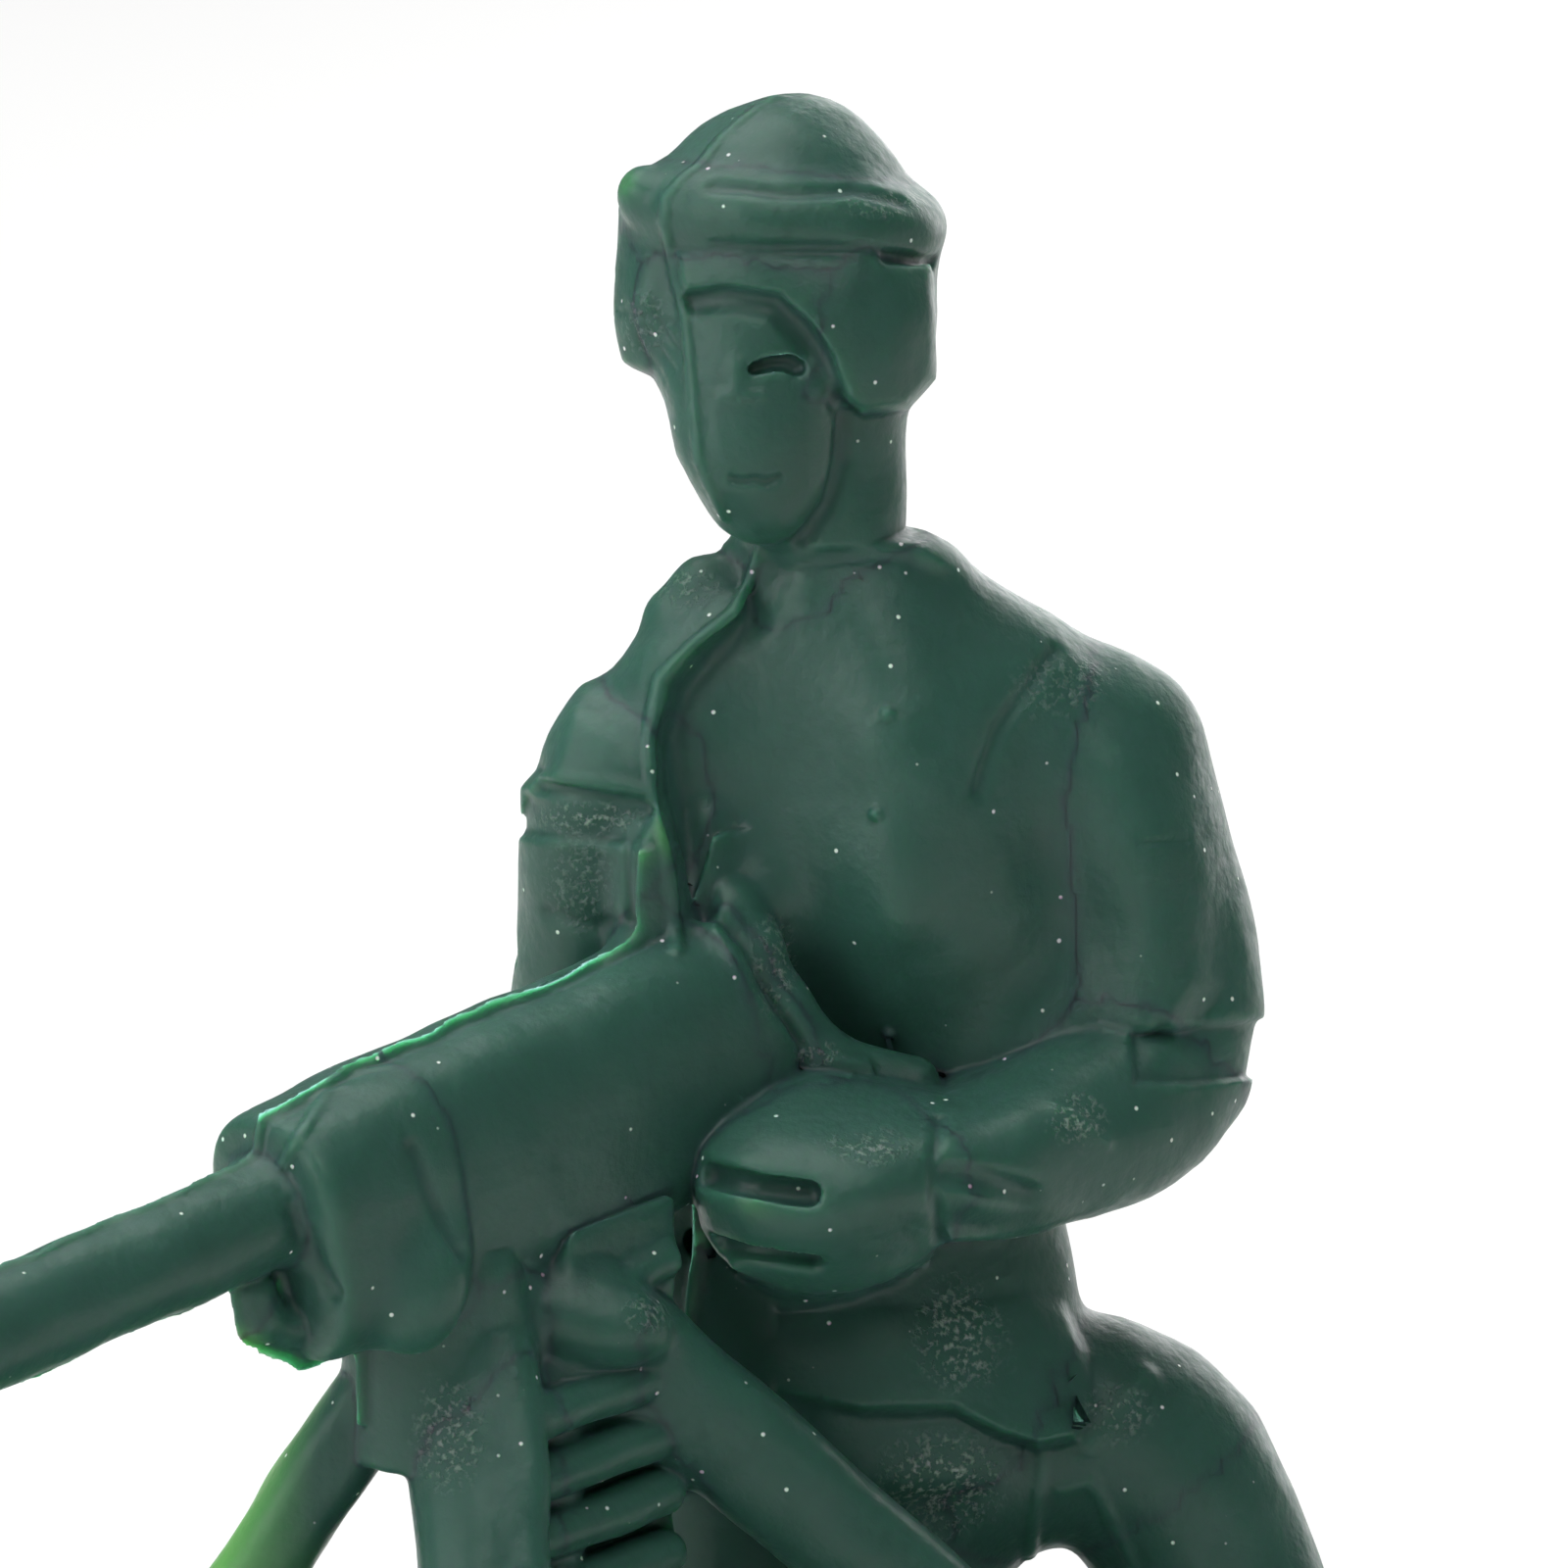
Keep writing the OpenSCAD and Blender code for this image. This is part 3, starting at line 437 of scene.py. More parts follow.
def relief(block, outline, marks, soft, behind=None, thick=2.5, proud=1.6):
    # moves the front skin inside a photo outline to a sheet through the marks, thick mm of plastic, and takes off
    # what stands up to proud mm before it; the sheet also fills the second outline, where it runs on behind what
    # borders it
    low, sheet = depthSheet(marks, outline)
    reached = outline + (behind or [])
    depths = sheet.min() - thick, sheet.max() + 1
    corners = np.array([depthPoint(pixel, depth) for pixel in reached for depth in depths])
    field, place, _ = window(block, corners.min(axis=0), corners.max(axis=0))
    u, v = pixelsOf(place)
    a, b = (np.clip((w - low[k]) / sheetForm["step"], 0, sheet.shape[k] - 1.001) for k, w in enumerate((u, v)))
    i, j = a.astype(int), b.astype(int)
    a, b = a - i, b - j
    surface = ((sheet[i, j] * (1 - b) + sheet[i, j + 1] * b) * (1 - a)
               + (sheet[i + 1, j] * (1 - b) + sheet[i + 1, j + 1] * b) * a)
    rise = reachAlong(place, photo["axis"], viewBack) - surface
    climb = sheetForm["lean"] * rise
    reach = sheetForm["reach"]
    outside = outlineDistance(u, v, outline) / photo["pixelsPerMm"]
    if behind is not None:
        wall = outlineDistance(u, v, behind) / photo["pixelsPerMm"]
        slab = np.clip(np.maximum(np.maximum(climb, -rise - thick), wall), -reach, reach)
        field[...] = smoothMin(field, slab.astype(np.float32), sheetForm["fillet"])
    edge = np.clip(0.5 - outside / (2 * soft), 0, 1)
    edge = np.where((rise > -thick) & (rise < proud), edge * edge * (3 - 2 * edge), 0)
    field += (edge * (np.clip(climb, -reach, reach) - field)).astype(np.float32)


# What rays meet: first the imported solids, later the cast skin with its main forms
skin = {"tree": solids}


def meshSkin():
    points, triangles, quads = sculpt.convertToPolygons(isovalue=0.0, adaptivity=0.1)
    skin["tree"] = BVHTree.FromPolygons(points.tolist(), quads.tolist() + triangles.tolist())


def work(sculpt, steps):
    # gives the forms under each name to that step's tool, all in one block
    block = openBlock(*sculpt["block"])
    for name, tool in steps.items():
        forms = sculpt[name]
        for form in forms if isinstance(forms, list) else [forms]:
            tool(block, **form) if isinstance(form, dict) else tool(block, *form)
    closeBlock(block)


flashWidth, flashHeight = 0.08, 0.22  # mm, fin left where the two mould halves met

# Cap, face and neck
headSculpt = {
    "block": ((-1.6, -2.6, 28.6), (8.6, 6.6, 40.8)),
    # radii in mm along the photo's right, up and back; sink is how far the middle lies behind the skin
    "lumps": [
        {"pixel": (775, 430), "sink": 1.5, "radii": (1.47, 2.3, 1.45), "fillet": 0.3},  # face
        {"pixel": (672, 300), "sink": 1.0, "radii": (0.8, 1.4, 1.3), "fillet": 0.3},  # hair over the far ear
        {"pixel": (656, 198), "sink": 0.45, "radii": (0.45, 0.5, 0.6), "fillet": 0.2},  # end of the brim
    ],
    "hood": {
        "soft": 0.08,
        "outline": [
            (690, 258), (760, 260), (905, 262), (950, 268), (955, 320), (952, 385), (925, 414), (880, 419),
            (866, 407), (848, 364), (824, 330), (795, 302), (740, 296), (696, 300),
        ],
        "marks": [
            (700, 275, 9.75), (740, 275, 10.1), (790, 275, 10.3), (840, 275, 10.25), (890, 275, 9.95),
            (930, 280, 9.45), (955, 285, 8.9), (820, 305, 10.35), (860, 310, 10.25), (900, 315, 9.95),
            (935, 320, 9.5), (958, 320, 8.9), (850, 350, 10.25), (885, 360, 10.0), (925, 365, 9.5),
            (955, 360, 8.8), (880, 405, 9.8), (915, 405, 9.4), (945, 395, 8.8),
        ],
    },
    "underBrim": {"pixels": [(905, 262), (945, 268), (985, 272)], "radius": 0.16, "soft": 0.15},
    "eye": {
        "pixels": [(769, 376), (785, 371), (802, 370), (813, 375)],
        "radius": 0.15, "soft": 0.1, "sink": 0.14,
    },
    "jawTrim": {
        "outline": [(600, 372), (666, 384), (682, 412), (688, 465), (712, 512), (730, 560), (600, 560)],
        "height": -0.34, "soft": 0.2,
    },
    # photo pixels, then width and height in mm, below zero for a groove; the flash line comes last
    "strokes": [
        ([(728, 189), (795, 197), (873, 192), (921, 205)], 0.14, -0.17),
        ([(706, 308), (745, 305), (790, 312), (818, 340), (840, 374), (858, 412)], 0.2, -0.26),
        ([(730, 250), (800, 253), (896, 255)], 0.12, -0.09),
        ([(862, 425), (859, 470), (846, 515), (820, 552)], 0.17, -0.26),
        ([(752, 372), (752, 398)], 0.16, 0.1),
        ([(736, 404), (778, 403)], 0.09, 0.07),
        ([(746, 488), (757, 492), (770, 489), (782, 493), (794, 488)], 0.06, -0.2),
        ([(652, 316), (664, 345), (690, 378)], 0.05, -0.07),
        ([(664, 308), (680, 342), (700, 366)], 0.05, -0.07),
        ([(644, 326), (655, 356), (682, 392)], 0.05, -0.07),
        ([(630, 318), (660, 322), (690, 330)], 0.04, -0.06),
        ([
            (806, 97), (782, 106), (756, 123), (737, 140), (717, 167), (698, 181), (680, 203), (680, 230),
            (687, 270), (700, 325), (707, 393), (714, 470), (738, 530), (746, 548),
        ], flashWidth, flashHeight),
    ],
}


# Jacket, arms and hands
jacketSculpt = {
    "block": ((-6.8, -5.8, 9.5), (13.6, 7.0, 31.8)),
    "fills": [
        {"start": (6.6, 0.3, 28.5), "end": (8.2, -1.4, 27.5), "radii": (1.35, 1.6), "fillet": 1.0},  # left shoulder
        {"start": (2.8, 2.5, 28.6), "end": (0.9, 3.4, 27.4), "radii": (1.4, 1.6), "fillet": 0.8},  # right shoulder
        {"start": (7.2, -0.4, 20.5), "end": (8.1, -0.8, 25.5), "radii": (1.1, 1.2), "fillet": 0.6},  # armpit
        # right arm to chest
        {"start": (-0.3, 1.5, 22.6), "end": (-0.3, 1.5, 26.5), "radii": (0.8, 0.8), "fillet": 0.4},
    ],
    "lumps": [
        {"pixel": (1092, 722), "depth": 4.6, "radii": (1.3, 1.2, 1.6), "fillet": 0.5},  # left shoulder
        {"pixel": (1035, 692), "depth": 5.2, "radii": (1.3, 1.2, 1.6), "fillet": 0.5},
        {"pixel": (920, 578), "depth": 6.6, "radii": (0.95, 0.6, 1.3), "fillet": 0.6},  # foot of the neck
    ],
    "collar": {
        "points": [depthPoint(pixel, 6.6) for pixel in [(766, 580), (724, 606), (692, 634)]],
        "radius": 0.6, "fillet": 0.35,
    },
    # outlines in photo pixels, marks as (pixel x, pixel y, mm in front of the torso's axis plane)
    "chest": {
        "soft": 0.32, "proud": 2.6,
        "behind": [
            (760, 640), (690, 690), (660, 760), (668, 930), (720, 990), (780, 1110), (960, 1150), (1080, 1120),
            (1180, 1080), (1150, 960), (950, 760), (850, 640),
        ],
        "outline": [
            (790, 572), (778, 605), (762, 634), (720, 668), (690, 702), (676, 755), (680, 805), (694, 866),
            (702, 930), (735, 934), (757, 962), (775, 995), (795, 1028), (820, 1058), (850, 1082), (885, 1095),
            (925, 1101), (964, 1110), (1050, 1075), (1120, 1042), (1200, 1050), (1238, 1000), (1243, 900),
            (1222, 810), (1175, 735), (1112, 684), (1045, 648), (985, 606), (930, 570), (860, 564),
        ],
        "marks": [
            (740, 590, 7.5), (790, 590, 7.8), (860, 580, 8.0), (930, 585, 7.7), (985, 605, 7.2),
            (700, 690, 7.5), (760, 680, 7.6), (830, 680, 8.0), (900, 680, 8.45), (970, 690, 8.1), (1040, 690, 7.3),
            (1110, 705, 6.6), (1160, 730, 6.3),
            (690, 780, 7.5), (750, 780, 7.4), (825, 780, 7.7), (895, 780, 8.45), (970, 780, 8.2), (1030, 780, 7.4),
            (1080, 780, 6.9), (1140, 790, 6.9), (1200, 800, 6.2),
            (700, 870, 7.4), (760, 870, 7.2), (830, 870, 7.4), (900, 870, 8.2), (975, 870, 7.9), (1030, 870, 7.1),
            (1075, 880, 6.3), (1120, 890, 6.5), (1180, 890, 6.7), (1230, 890, 5.9),
            (770, 940, 7.3), (840, 950, 6.8), (905, 950, 7.8), (970, 950, 7.4), (1030, 950, 6.7), (1075, 960, 6.0),
            (1120, 970, 6.1), (1180, 980, 6.5), (1240, 980, 5.7),
            (850, 1020, 5.8), (915, 1020, 6.5), (980, 1020, 6.5), (1040, 1020, 6.1), (1090, 1020, 5.9),
            (1150, 1040, 6.3), (1210, 1040, 6.2), (880, 1075, 5.5), (930, 1085, 5.8), (990, 1085, 6.1),
        ],
    },
    "forearm": {
        "soft": 0.22,
        "outline": [
            (843, 1090), (930, 1104), (964, 1110), (1050, 1077), (1120, 1045), (1200, 1060), (1240, 1100),
            (1212, 1142), (1178, 1188), (1112, 1234), (1040, 1250), (966, 1258), (945, 1282), (910, 1304),
            (870, 1318), (835, 1321), (800, 1316), (762, 1300), (736, 1278), (720, 1250), (714, 1205), (720, 1172),
            (742, 1144), (790, 1112),
        ],
        "marks": [
            (860, 1100, 7.6), (920, 1112, 7.7), (980, 1115, 7.5), (1050, 1085, 6.8), (1120, 1060, 6.4),
            (1190, 1075, 6.3), (800, 1125, 8.7),
            (830, 1140, 9.2), (900, 1150, 9.3), (970, 1150, 9.0), (1040, 1130, 8.2), (1100, 1110, 7.5),
            (1160, 1110, 6.8), (1215, 1110, 6.0),
            (760, 1165, 9.6), (830, 1180, 10.1), (900, 1190, 10.1), (950, 1195, 9.75), (1010, 1190, 9.2),
            (1070, 1180, 8.4), (1130, 1170, 7.5), (1190, 1150, 6.5),
            (732, 1220, 9.9), (800, 1230, 10.4), (870, 1240, 10.3), (940, 1235, 9.7), (1000, 1235, 8.9),
            (1060, 1225, 8.1), (1120, 1210, 7.2),
            (755, 1278, 9.5), (820, 1295, 9.6), (880, 1288, 9.5), (930, 1262, 9.3), (1000, 1252, 8.3),
            (745, 1292, 8.9), (800, 1318, 8.8), (850, 1322, 8.8), (910, 1306, 8.7), (955, 1280, 8.5),
            (712, 1230, 9.2),
        ],
    },
    # plastic that ran along the gun's rear edge, as (pixel x, pixel y, depth)
    "web": {
        "points": [depthPoint((x, y), depth) for x, y, depth in [
            (716, 840, 6.9), (712, 905, 7.0), (745, 926, 7.3), (772, 965, 7.3), (800, 1020, 7.0), (845, 1078, 6.7),
            (930, 1099, 6.4),
        ]],
        "radius": 0.5, "fillet": 0.3,
    },
    "panels": [
        # trimmed shoulder, torn sleeve, sleeve band
        {"outline": [(500, 660), (590, 690), (556, 790), (500, 800)], "height": -0.3, "soft": 0.2},
        {"outline": [(535, 812), (665, 828), (652, 862), (530, 852)], "height": -0.14, "soft": 0.1},
        {
            "outline": [(1154, 1054), (1210, 1047), (1292, 1040), (1290, 1098), (1210, 1106), (1156, 1106)],
            "height": -0.16, "soft": 0.05,
        },
    ],
    "hem": {
        "soft": 0.1,
        "outline": [
            (790, 1335), (1000, 1330), (1078, 1318), (1106, 1380), (1116, 1436), (1098, 1468), (1060, 1478),
            (1021, 1464), (972, 1438), (880, 1442), (790, 1420),
        ],
        "marks": [
            (820, 1335, 6.25), (900, 1330, 6.15), (980, 1325, 5.6), (1040, 1315, 4.9), (1095, 1300, 3.5),
            (820, 1400, 6.4), (900, 1400, 6.4), (980, 1395, 5.9), (1040, 1390, 5.2), (1098, 1385, 4.3),
            (900, 1440, 6.4), (980, 1440, 5.9), (1040, 1455, 5.4), (1095, 1450, 4.8),
        ],
    },
    "buttons": [
        {"pixel": pixel, "radii": (0.13, 0.13, 0.13), "fillet": 0.06}
        for pixel in [(905, 728), (893, 830), (908, 1055)]
    ],
    "fingerSlots": [
        {"pixels": pixels, "radius": 0.26, "soft": 0.25, "sink": 0.3}
        for pixels in [[(826, 1220), (780, 1214), (724, 1200)], [(828, 1281), (780, 1276), (714, 1266)]]
    ],
    "strokes": [
        ([(1076, 664), (1045, 705), (1016, 748), (999, 805)], 0.16, -0.14),
        ([(968, 1197), (1000, 1204), (1050, 1220)], 0.2, -0.42),
        ([(958, 1140), (952, 1190), (960, 1268)], 0.1, -0.2),
        ([(547, 803), (600, 812), (664, 824)], 0.12, -0.36),
        ([(548, 790), (600, 798), (662, 810)], 0.14, 0.12),
        ([(640, 850), (645, 940)], 0.09, -0.14),
        ([(560, 930), (610, 945), (650, 940)], 0.16, -0.1),
        ([(1165, 860), (1230, 856)], 0.05, -0.06),
        ([(1078, 1130), (1100, 1142), (1128, 1165)], 0.14, 0.12),
        ([(1065, 1484), (1056, 1540), (1050, 1599)], 0.1, 0.14),
        ([(1110, 1474), (1140, 1440), (1170, 1405)], 0.22, 0.14),
        ([(1084, 1520), (1112, 1512), (1135, 1550), (1156, 1599)], 0.12, 0.12),
        # hollow beside the flash line, and the line
        ([
            (790, 590), (770, 630), (728, 668), (697, 705), (684, 755), (688, 805), (702, 866), (712, 925),
        ], 0.3, -0.22),
        ([
            (774, 563), (762, 600), (748, 625), (705, 658), (674, 693), (661, 753), (664, 805), (679, 866),
            (687, 935), (690, 972),
        ], flashWidth, 2 * flashHeight),
    ],
}


# Folds of cloth where the photo doesn't reach, as chains of points in mm that are drawn to the nearest skin
hiddenFolds = {
    "block": ((-3.0, -6.0, 1.2), (14.5, 13.0, 31.0)),
    "strokes": [
        ([(8.4, 0.6, 19.9), (8.0, 3.4, 19.7), (4.5, 5.0, 19.6), (0.6, 4.6, 19.8)], 0.3, 0.14),
        ([(8.4, 0.6, 19.2), (8.0, 3.4, 19.0), (4.5, 5.0, 18.9), (0.6, 4.6, 19.1)], 0.2, -0.16),
        ([(7.6, 3.2, 28.4), (7.0, 4.2, 25.5), (7.4, 3.8, 22.5)], 0.28, -0.16),
        ([(3.4, 5.2, 28.0), (3.2, 5.4, 25.0), (3.0, 5.0, 22.0)], 0.28, -0.14),
        ([(8.6, 2.2, 26.5), (7.0, 4.2, 27.2), (4.6, 5.2, 27.0)], 0.25, 0.12),
        ([(6.6, 3.6, 18.0), (7.0, 3.4, 14.5), (7.4, 3.0, 11.0)], 0.3, -0.14),
        ([(4.4, 5.0, 18.0), (4.2, 5.0, 14.5), (4.2, 4.8, 11.0)], 0.25, 0.12),
        ([(0.8, 5.6, 26.4), (-0.6, 5.8, 24.6), (-0.8, 4.6, 23.6)], 0.22, -0.16),
        ([(0.4, 6.2, 22.6), (-0.8, 5.8, 21.8), (-1.4, 4.2, 21.6)], 0.22, -0.18),
        ([(11.2, -1.0, 25.6), (11.0, 0.4, 24.8), (10.0, 0.8, 24.0)], 0.22, -0.14),
        ([(11.4, -2.4, 22.6), (10.6, -0.4, 21.8), (9.6, 0.0, 21.6)], 0.22, -0.16),
    ],
}


# Gun: the fin runs all round it in the plane of its own axis
gunSculpt = {
    "block": ((-23.2, -2.0, 16.6), (2.6, 3.8, 26.4)),
    "fin": {
        "y": 1.0,  # mm, the mould's parting plane
        "wander": [(0.05, 2.1, 0.0), (0.03, 5.3, 1.0)],  # waves: mm, radians in each mm, start
        "barrelFrom": -10.5, "barrelShare": 0.5,  # mm, x where the barrel starts, and how high its fin is
    },
    "bulge": {"pixel": (415, 1300), "sink": 0.75, "radii": (1.1, 1.5, 0.9), "fillet": 0.3},
    "flap": {
        "points": [planePoint(pixel, 1.0) for pixel in [(258, 1318), (266, 1345), (290, 1352), (310, 1345)]],
        "radius": 0.42, "fillet": 0.2,
    },
    "strokes": [
        ([(423, 1172), (445, 1228), (470, 1280)], 0.16, -0.16),
        ([(300, 1240), (320, 1285), (338, 1318)], 0.2, -0.14),
        ([(300, 1120), (345, 1100), (400, 1088)], 0.07, 0.08),
        ([(268, 1150), (310, 1124), (350, 1110)], 0.07, 0.08),
        ([(333, 1116), (311, 1151), (290, 1188)], 0.09, 0.16),
        ([(740, 930), (775, 990), (843, 1080), (925, 1100)], 0.16, 0.16),
    ],
}


def drawFin(block, y, wander, barrelFrom, barrelShare):
    field, (across, deep, _), _ = window(block, *gunSculpt["block"])
    wave = sum(size * np.sin(across * pace + start) for size, pace, start in wander)
    rise = np.where(across < barrelFrom, barrelShare, 1.0) * flashHeight
    field -= (rise * np.exp(-(((deep - y - wave) / flashWidth) ** 2))).astype(np.float32)


# Tripod and belt: post, saddle and belt run into each other, the cartridges stand out as round bars
tripodSculpt = {
    "block": ((-13.0, -9.6, 0.4), (5.0, 3.4, 19.8)),
    "fills": [
        {"start": (-5.9, 0.2, 17.3), "end": (-7.4, -1.7, 13.0), "radii": (1.2, 1.1), "fillet": 0.4},  # post
        {"start": (-4.6, -0.3, 17.0), "end": (-4.9, -0.9, 10.9), "radii": (0.6, 0.5), "fillet": 0.4},  # belt
        {"start": (-4.0, 0.6, 18.2), "end": (3.4, -4.6, 10.6), "radii": (0.95, 0.8), "fillet": 0.4},  # rear leg
    ],
    "saddle": {"pixel": (590, 1345), "sink": 0.55, "radii": (1.7, 0.9, 1.0), "fillet": 0.4, "lean": -12},
    "border": {
        "pixels": [(500, 1300), (527, 1384), (536, 1480), (540, 1599)],
        "radius": 0.4, "fillet": 0.4, "sink": 0.2,
    },
    "cartridges": [
        {"points": [planePoint((x, y + down), -1.0) for x, y in [(550, 1447), (676, 1398)]],
         "radius": 0.47, "fillet": 0.06}
        for down in range(0, 300, 62)
    ],
}


# The main forms come first, and the details are drawn on the skin that they give
mainForms = [
    (headSculpt, {"lumps": lump}),
    (jacketSculpt, {
        "fills": limb, "lumps": lump, "collar": limbChain, "chest": relief, "forearm": relief, "hem": relief,
        "web": limbChain,
    }),
    (gunSculpt, {"bulge": lump, "flap": limbChain}),
    (tripodSculpt, {"fills": limb, "saddle": lump, "cartridges": limbChain}),
]
details = [
    (hiddenFolds, {"strokes": drawFold}),
    (headSculpt, {"hood": relief, "underBrim": cutSlot, "jawTrim": panel, "strokes": drawStroke, "eye": cutSlot}),
    (jacketSculpt, {"panels": panel, "strokes": drawStroke, "buttons": lump, "fingerSlots": cutSlot}),
    (gunSculpt, {"fin": drawFin, "strokes": drawStroke}),
    (tripodSculpt, {"border": addRoll}),
]
for part, steps in mainForms:
    work(part, steps)
meshSkin()
print("main forms added")
for part, steps in details:
    work(part, steps)
print("sculpted")


# Values of a field at any points, read cell by cell
cellSize = 10.0  # mm


def byCell(points):
    # corner of each cell in use, and which points lie in it
    cells = np.floor(points / cellSize).astype(int)
    keys = cells @ np.array((10000, 100, 1))
    for key in np.unique(keys):
        chosen = np.nonzero(keys == key)[0]
        yield cells[chosen[0]] * cellSize, chosen


def between(field, local):
    corner = np.clip(np.floor(local).astype(int), 0, np.array(field.shape) - 2)
    part = (local - corner).astype(np.float32)
    total = 0
    for far in np.ndindex(2, 2, 2):
        i, j, k = (corner + far).T
        total = total + np.prod(np.where(far, part, 1 - part), axis=1) * field[i, j, k]
    return total


def sampleField(points):
    values = np.full(len(points), band, np.float32)
    size = int(round(cellSize / voxel)) + 4
    for lowest, chosen in byCell(points):
        at = np.floor(lowest / voxel).astype(int) - 1
        values[chosen] = between(readGrid(sculpt, at, (size,) * 3), points[chosen] / voxel - at)
    return values


skinPoints, skinTriangles, skinQuads = sculpt.convertToPolygons(isovalue=0.0, adaptivity=0.02)
boxLow, boxHigh = (np.array(corner) * 1000 for corner in cadBox)
skinPoints = np.clip(skinPoints.astype(np.float64), boxLow, boxHigh)
print("skin:", len(skinPoints), "points", len(skinTriangles), "triangles", len(skinQuads), "quads")
skinNormals = np.stack(
    [sampleField(skinPoints + step) - sampleField(skinPoints - step) for step in np.eye(3) * voxel], axis=1)
skinNormals /= np.maximum(np.linalg.norm(skinNormals, axis=1, keepdims=True), 1e-9)

# Slight unevenness of a soft moulding, as a sum of waves that also turns the normals
unevenness = {"depth": 0.009, "waves": 14, "shortest": 1.2, "longest": 4.0, "fade": 2.0, "seed": 7}  # lengths in mm


def unevenSkin(points, normals):
    chance = np.random.default_rng(unevenness["seed"])
    rise = np.zeros(len(points))
    slope = np.zeros_like(points)
    for _ in range(unevenness["waves"]):
        way = chance.normal(size=3)
        way *= 2 * math.pi / chance.uniform(unevenness["shortest"], unevenness["longest"]) / np.linalg.norm(way)
        phase = points @ way + chance.uniform(0, 2 * math.pi)
        rise += np.sin(phase)
        slope += np.cos(phase)[:, None] * way
    rise *= unevenness["depth"] * np.minimum(points[:, 2] / unevenness["fade"], 1)
    slope *= unevenness["depth"]
    slope -= normals * np.einsum("ij,ij->i", slope, normals)[:, None]
    points = np.clip(points + normals * rise[:, None], boxLow, boxHigh)
    normals = normals - slope
    return points, normals / np.linalg.norm(normals, axis=1, keepdims=True)


skinPoints, skinNormals = unevenSkin(skinPoints, skinNormals)

# faces as four corners, the last one repeated in a triangle
faces = np.vstack([skinQuads, np.hstack([skinTriangles, skinTriangles[:, 2:]])]).astype(np.int64)
a, b, c = (skinPoints[faces[:, k]] for k in range(3))
outward = np.einsum("ij,ij->i", np.cross(b - a, c - a), skinNormals[faces[:, 0]])
if np.median(outward) < 0:
    faces = faces[:, ::-1].copy()
    turnedTriangles = faces[:, 0] == faces[:, 1]
    faces[turnedTriangles] = np.roll(faces[turnedTriangles], -1, axis=1)


# How much of the plastic near a point is missing, which is where light comes through; this sets the painted glow
thinness = {"reach": 0.9, "from": 0.27, "to": 0.1}  # mm, shares of a full surround


def measureThinness():
    total = np.zeros(len(skinPoints))
    step = 2 * voxel
    radius = max(1, blurRadius(thinness["reach"], step))
    pad = 3 * radius + 1
    size = int(math.ceil(cellSize / step)) + 2 + 2 * pad
    for lowest, chosen in byCell(skinPoints):
        at = np.floor(lowest / step).astype(int) - pad
        field = readGrid(sculpt, 2 * at, (2 * size,) * 3)[::2, ::2, ::2]
        filled = blur(np.clip(0.5 - field / step, 0, 1), radius)
        total[chosen] = between(filled, skinPoints[chosen] / step - at - 3 * radius)
    t = np.clip((thinness["from"] - total) / (thinness["from"] - thinness["to"]), 0, 1)
    return t * t * (3 - 2 * t)


# Patches rubbed dull and grainy by handling: centre and half sizes in photo pixels, and how strong
rubbedPatches = [
    ((975, 1362), (48, 62), 0.9), ((962, 1510), (72, 56), 1.0), ((458, 1465), (42, 66), 0.8),
    ((600, 835), (62, 18), 1.0), ((890, 1172), (48, 18), 0.7), ((1100, 1142), (34, 30), 0.8),
    ((700, 600), (38, 24), 0.5), ((1140, 1440), (40, 34), 0.6), ((790, 985), (26, 60), 0.6),
    ((835, 1075), (30, 16), 0.7), ((660, 1340), (30, 24), 0.5), ((660, 330), (26, 40), 0.4),
    ((590, 900), (40, 60), 0.35), ((900, 210), (50, 16), 0.3), ((1080, 700), (60, 40), 0.25),
]
rubbedReach = 2.2  # mm, keeps a patch off what lies behind it
rubbedGain = 1.6  # above 1 its middle is even


def measureRubbing():
    u, v = pixelsOf(skinPoints.T)
    rubbed = np.zeros(len(skinPoints))
    for (x, y), (halfX, halfY), strength in rubbedPatches:
        near = np.linalg.norm(skinPoints - skinPoint((x, y)), axis=1) < rubbedReach
        fade = 1 - np.hypot((u - x) / halfX, (v - y) / halfY)
        rubbed = np.maximum(rubbed, np.where(near, np.clip(fade * rubbedGain, 0, 1) * strength, 0))
    return rubbed


# share of painted glow, for light shining through thin plastic
paintedGlow = measureThinness()
rubbed = measureRubbing()
print("thin places:", int((paintedGlow > 0.5).sum()), "rubbed:", int((rubbed > 0.3).sum()))


# Each face belongs to the solid it lies nearest to
def labelFaces():
    centres = (skinPoints[faces[:, 0]] + skinPoints[faces[:, 1]] + skinPoints[faces[:, 2]]) / 3
    labels = np.empty(len(faces), int)
    for k, centre in enumerate(centres.tolist()):
        labels[k] = triangleOwner[solids.find_nearest(centre)[2]]
    return labels


def faceEdges(some):
    sides = np.stack([some, np.roll(some, -1, axis=1)], axis=2).reshape(-1, 2)
    owner = np.repeat(np.arange(len(some)), 4)
    real = sides[:, 0] != sides[:, 1]
    return sides[real], owner[real]


def facePairs():
    sides, owner = faceEdges(faces)
    low, high = sides.min(axis=1), sides.max(axis=1)
    order = np.lexsort((high, low))
    low, high, owner = low[order], high[order], owner[order]
    same = (low[1:] == low[:-1]) & (high[1:] == high[:-1])
    return owner[:-1][same], owner[1:][same]


# a speck has fewer faces than this, or than this share of its solid's largest patch
speck = {"faces": 40, "share": 0.02, "rounds": 3}


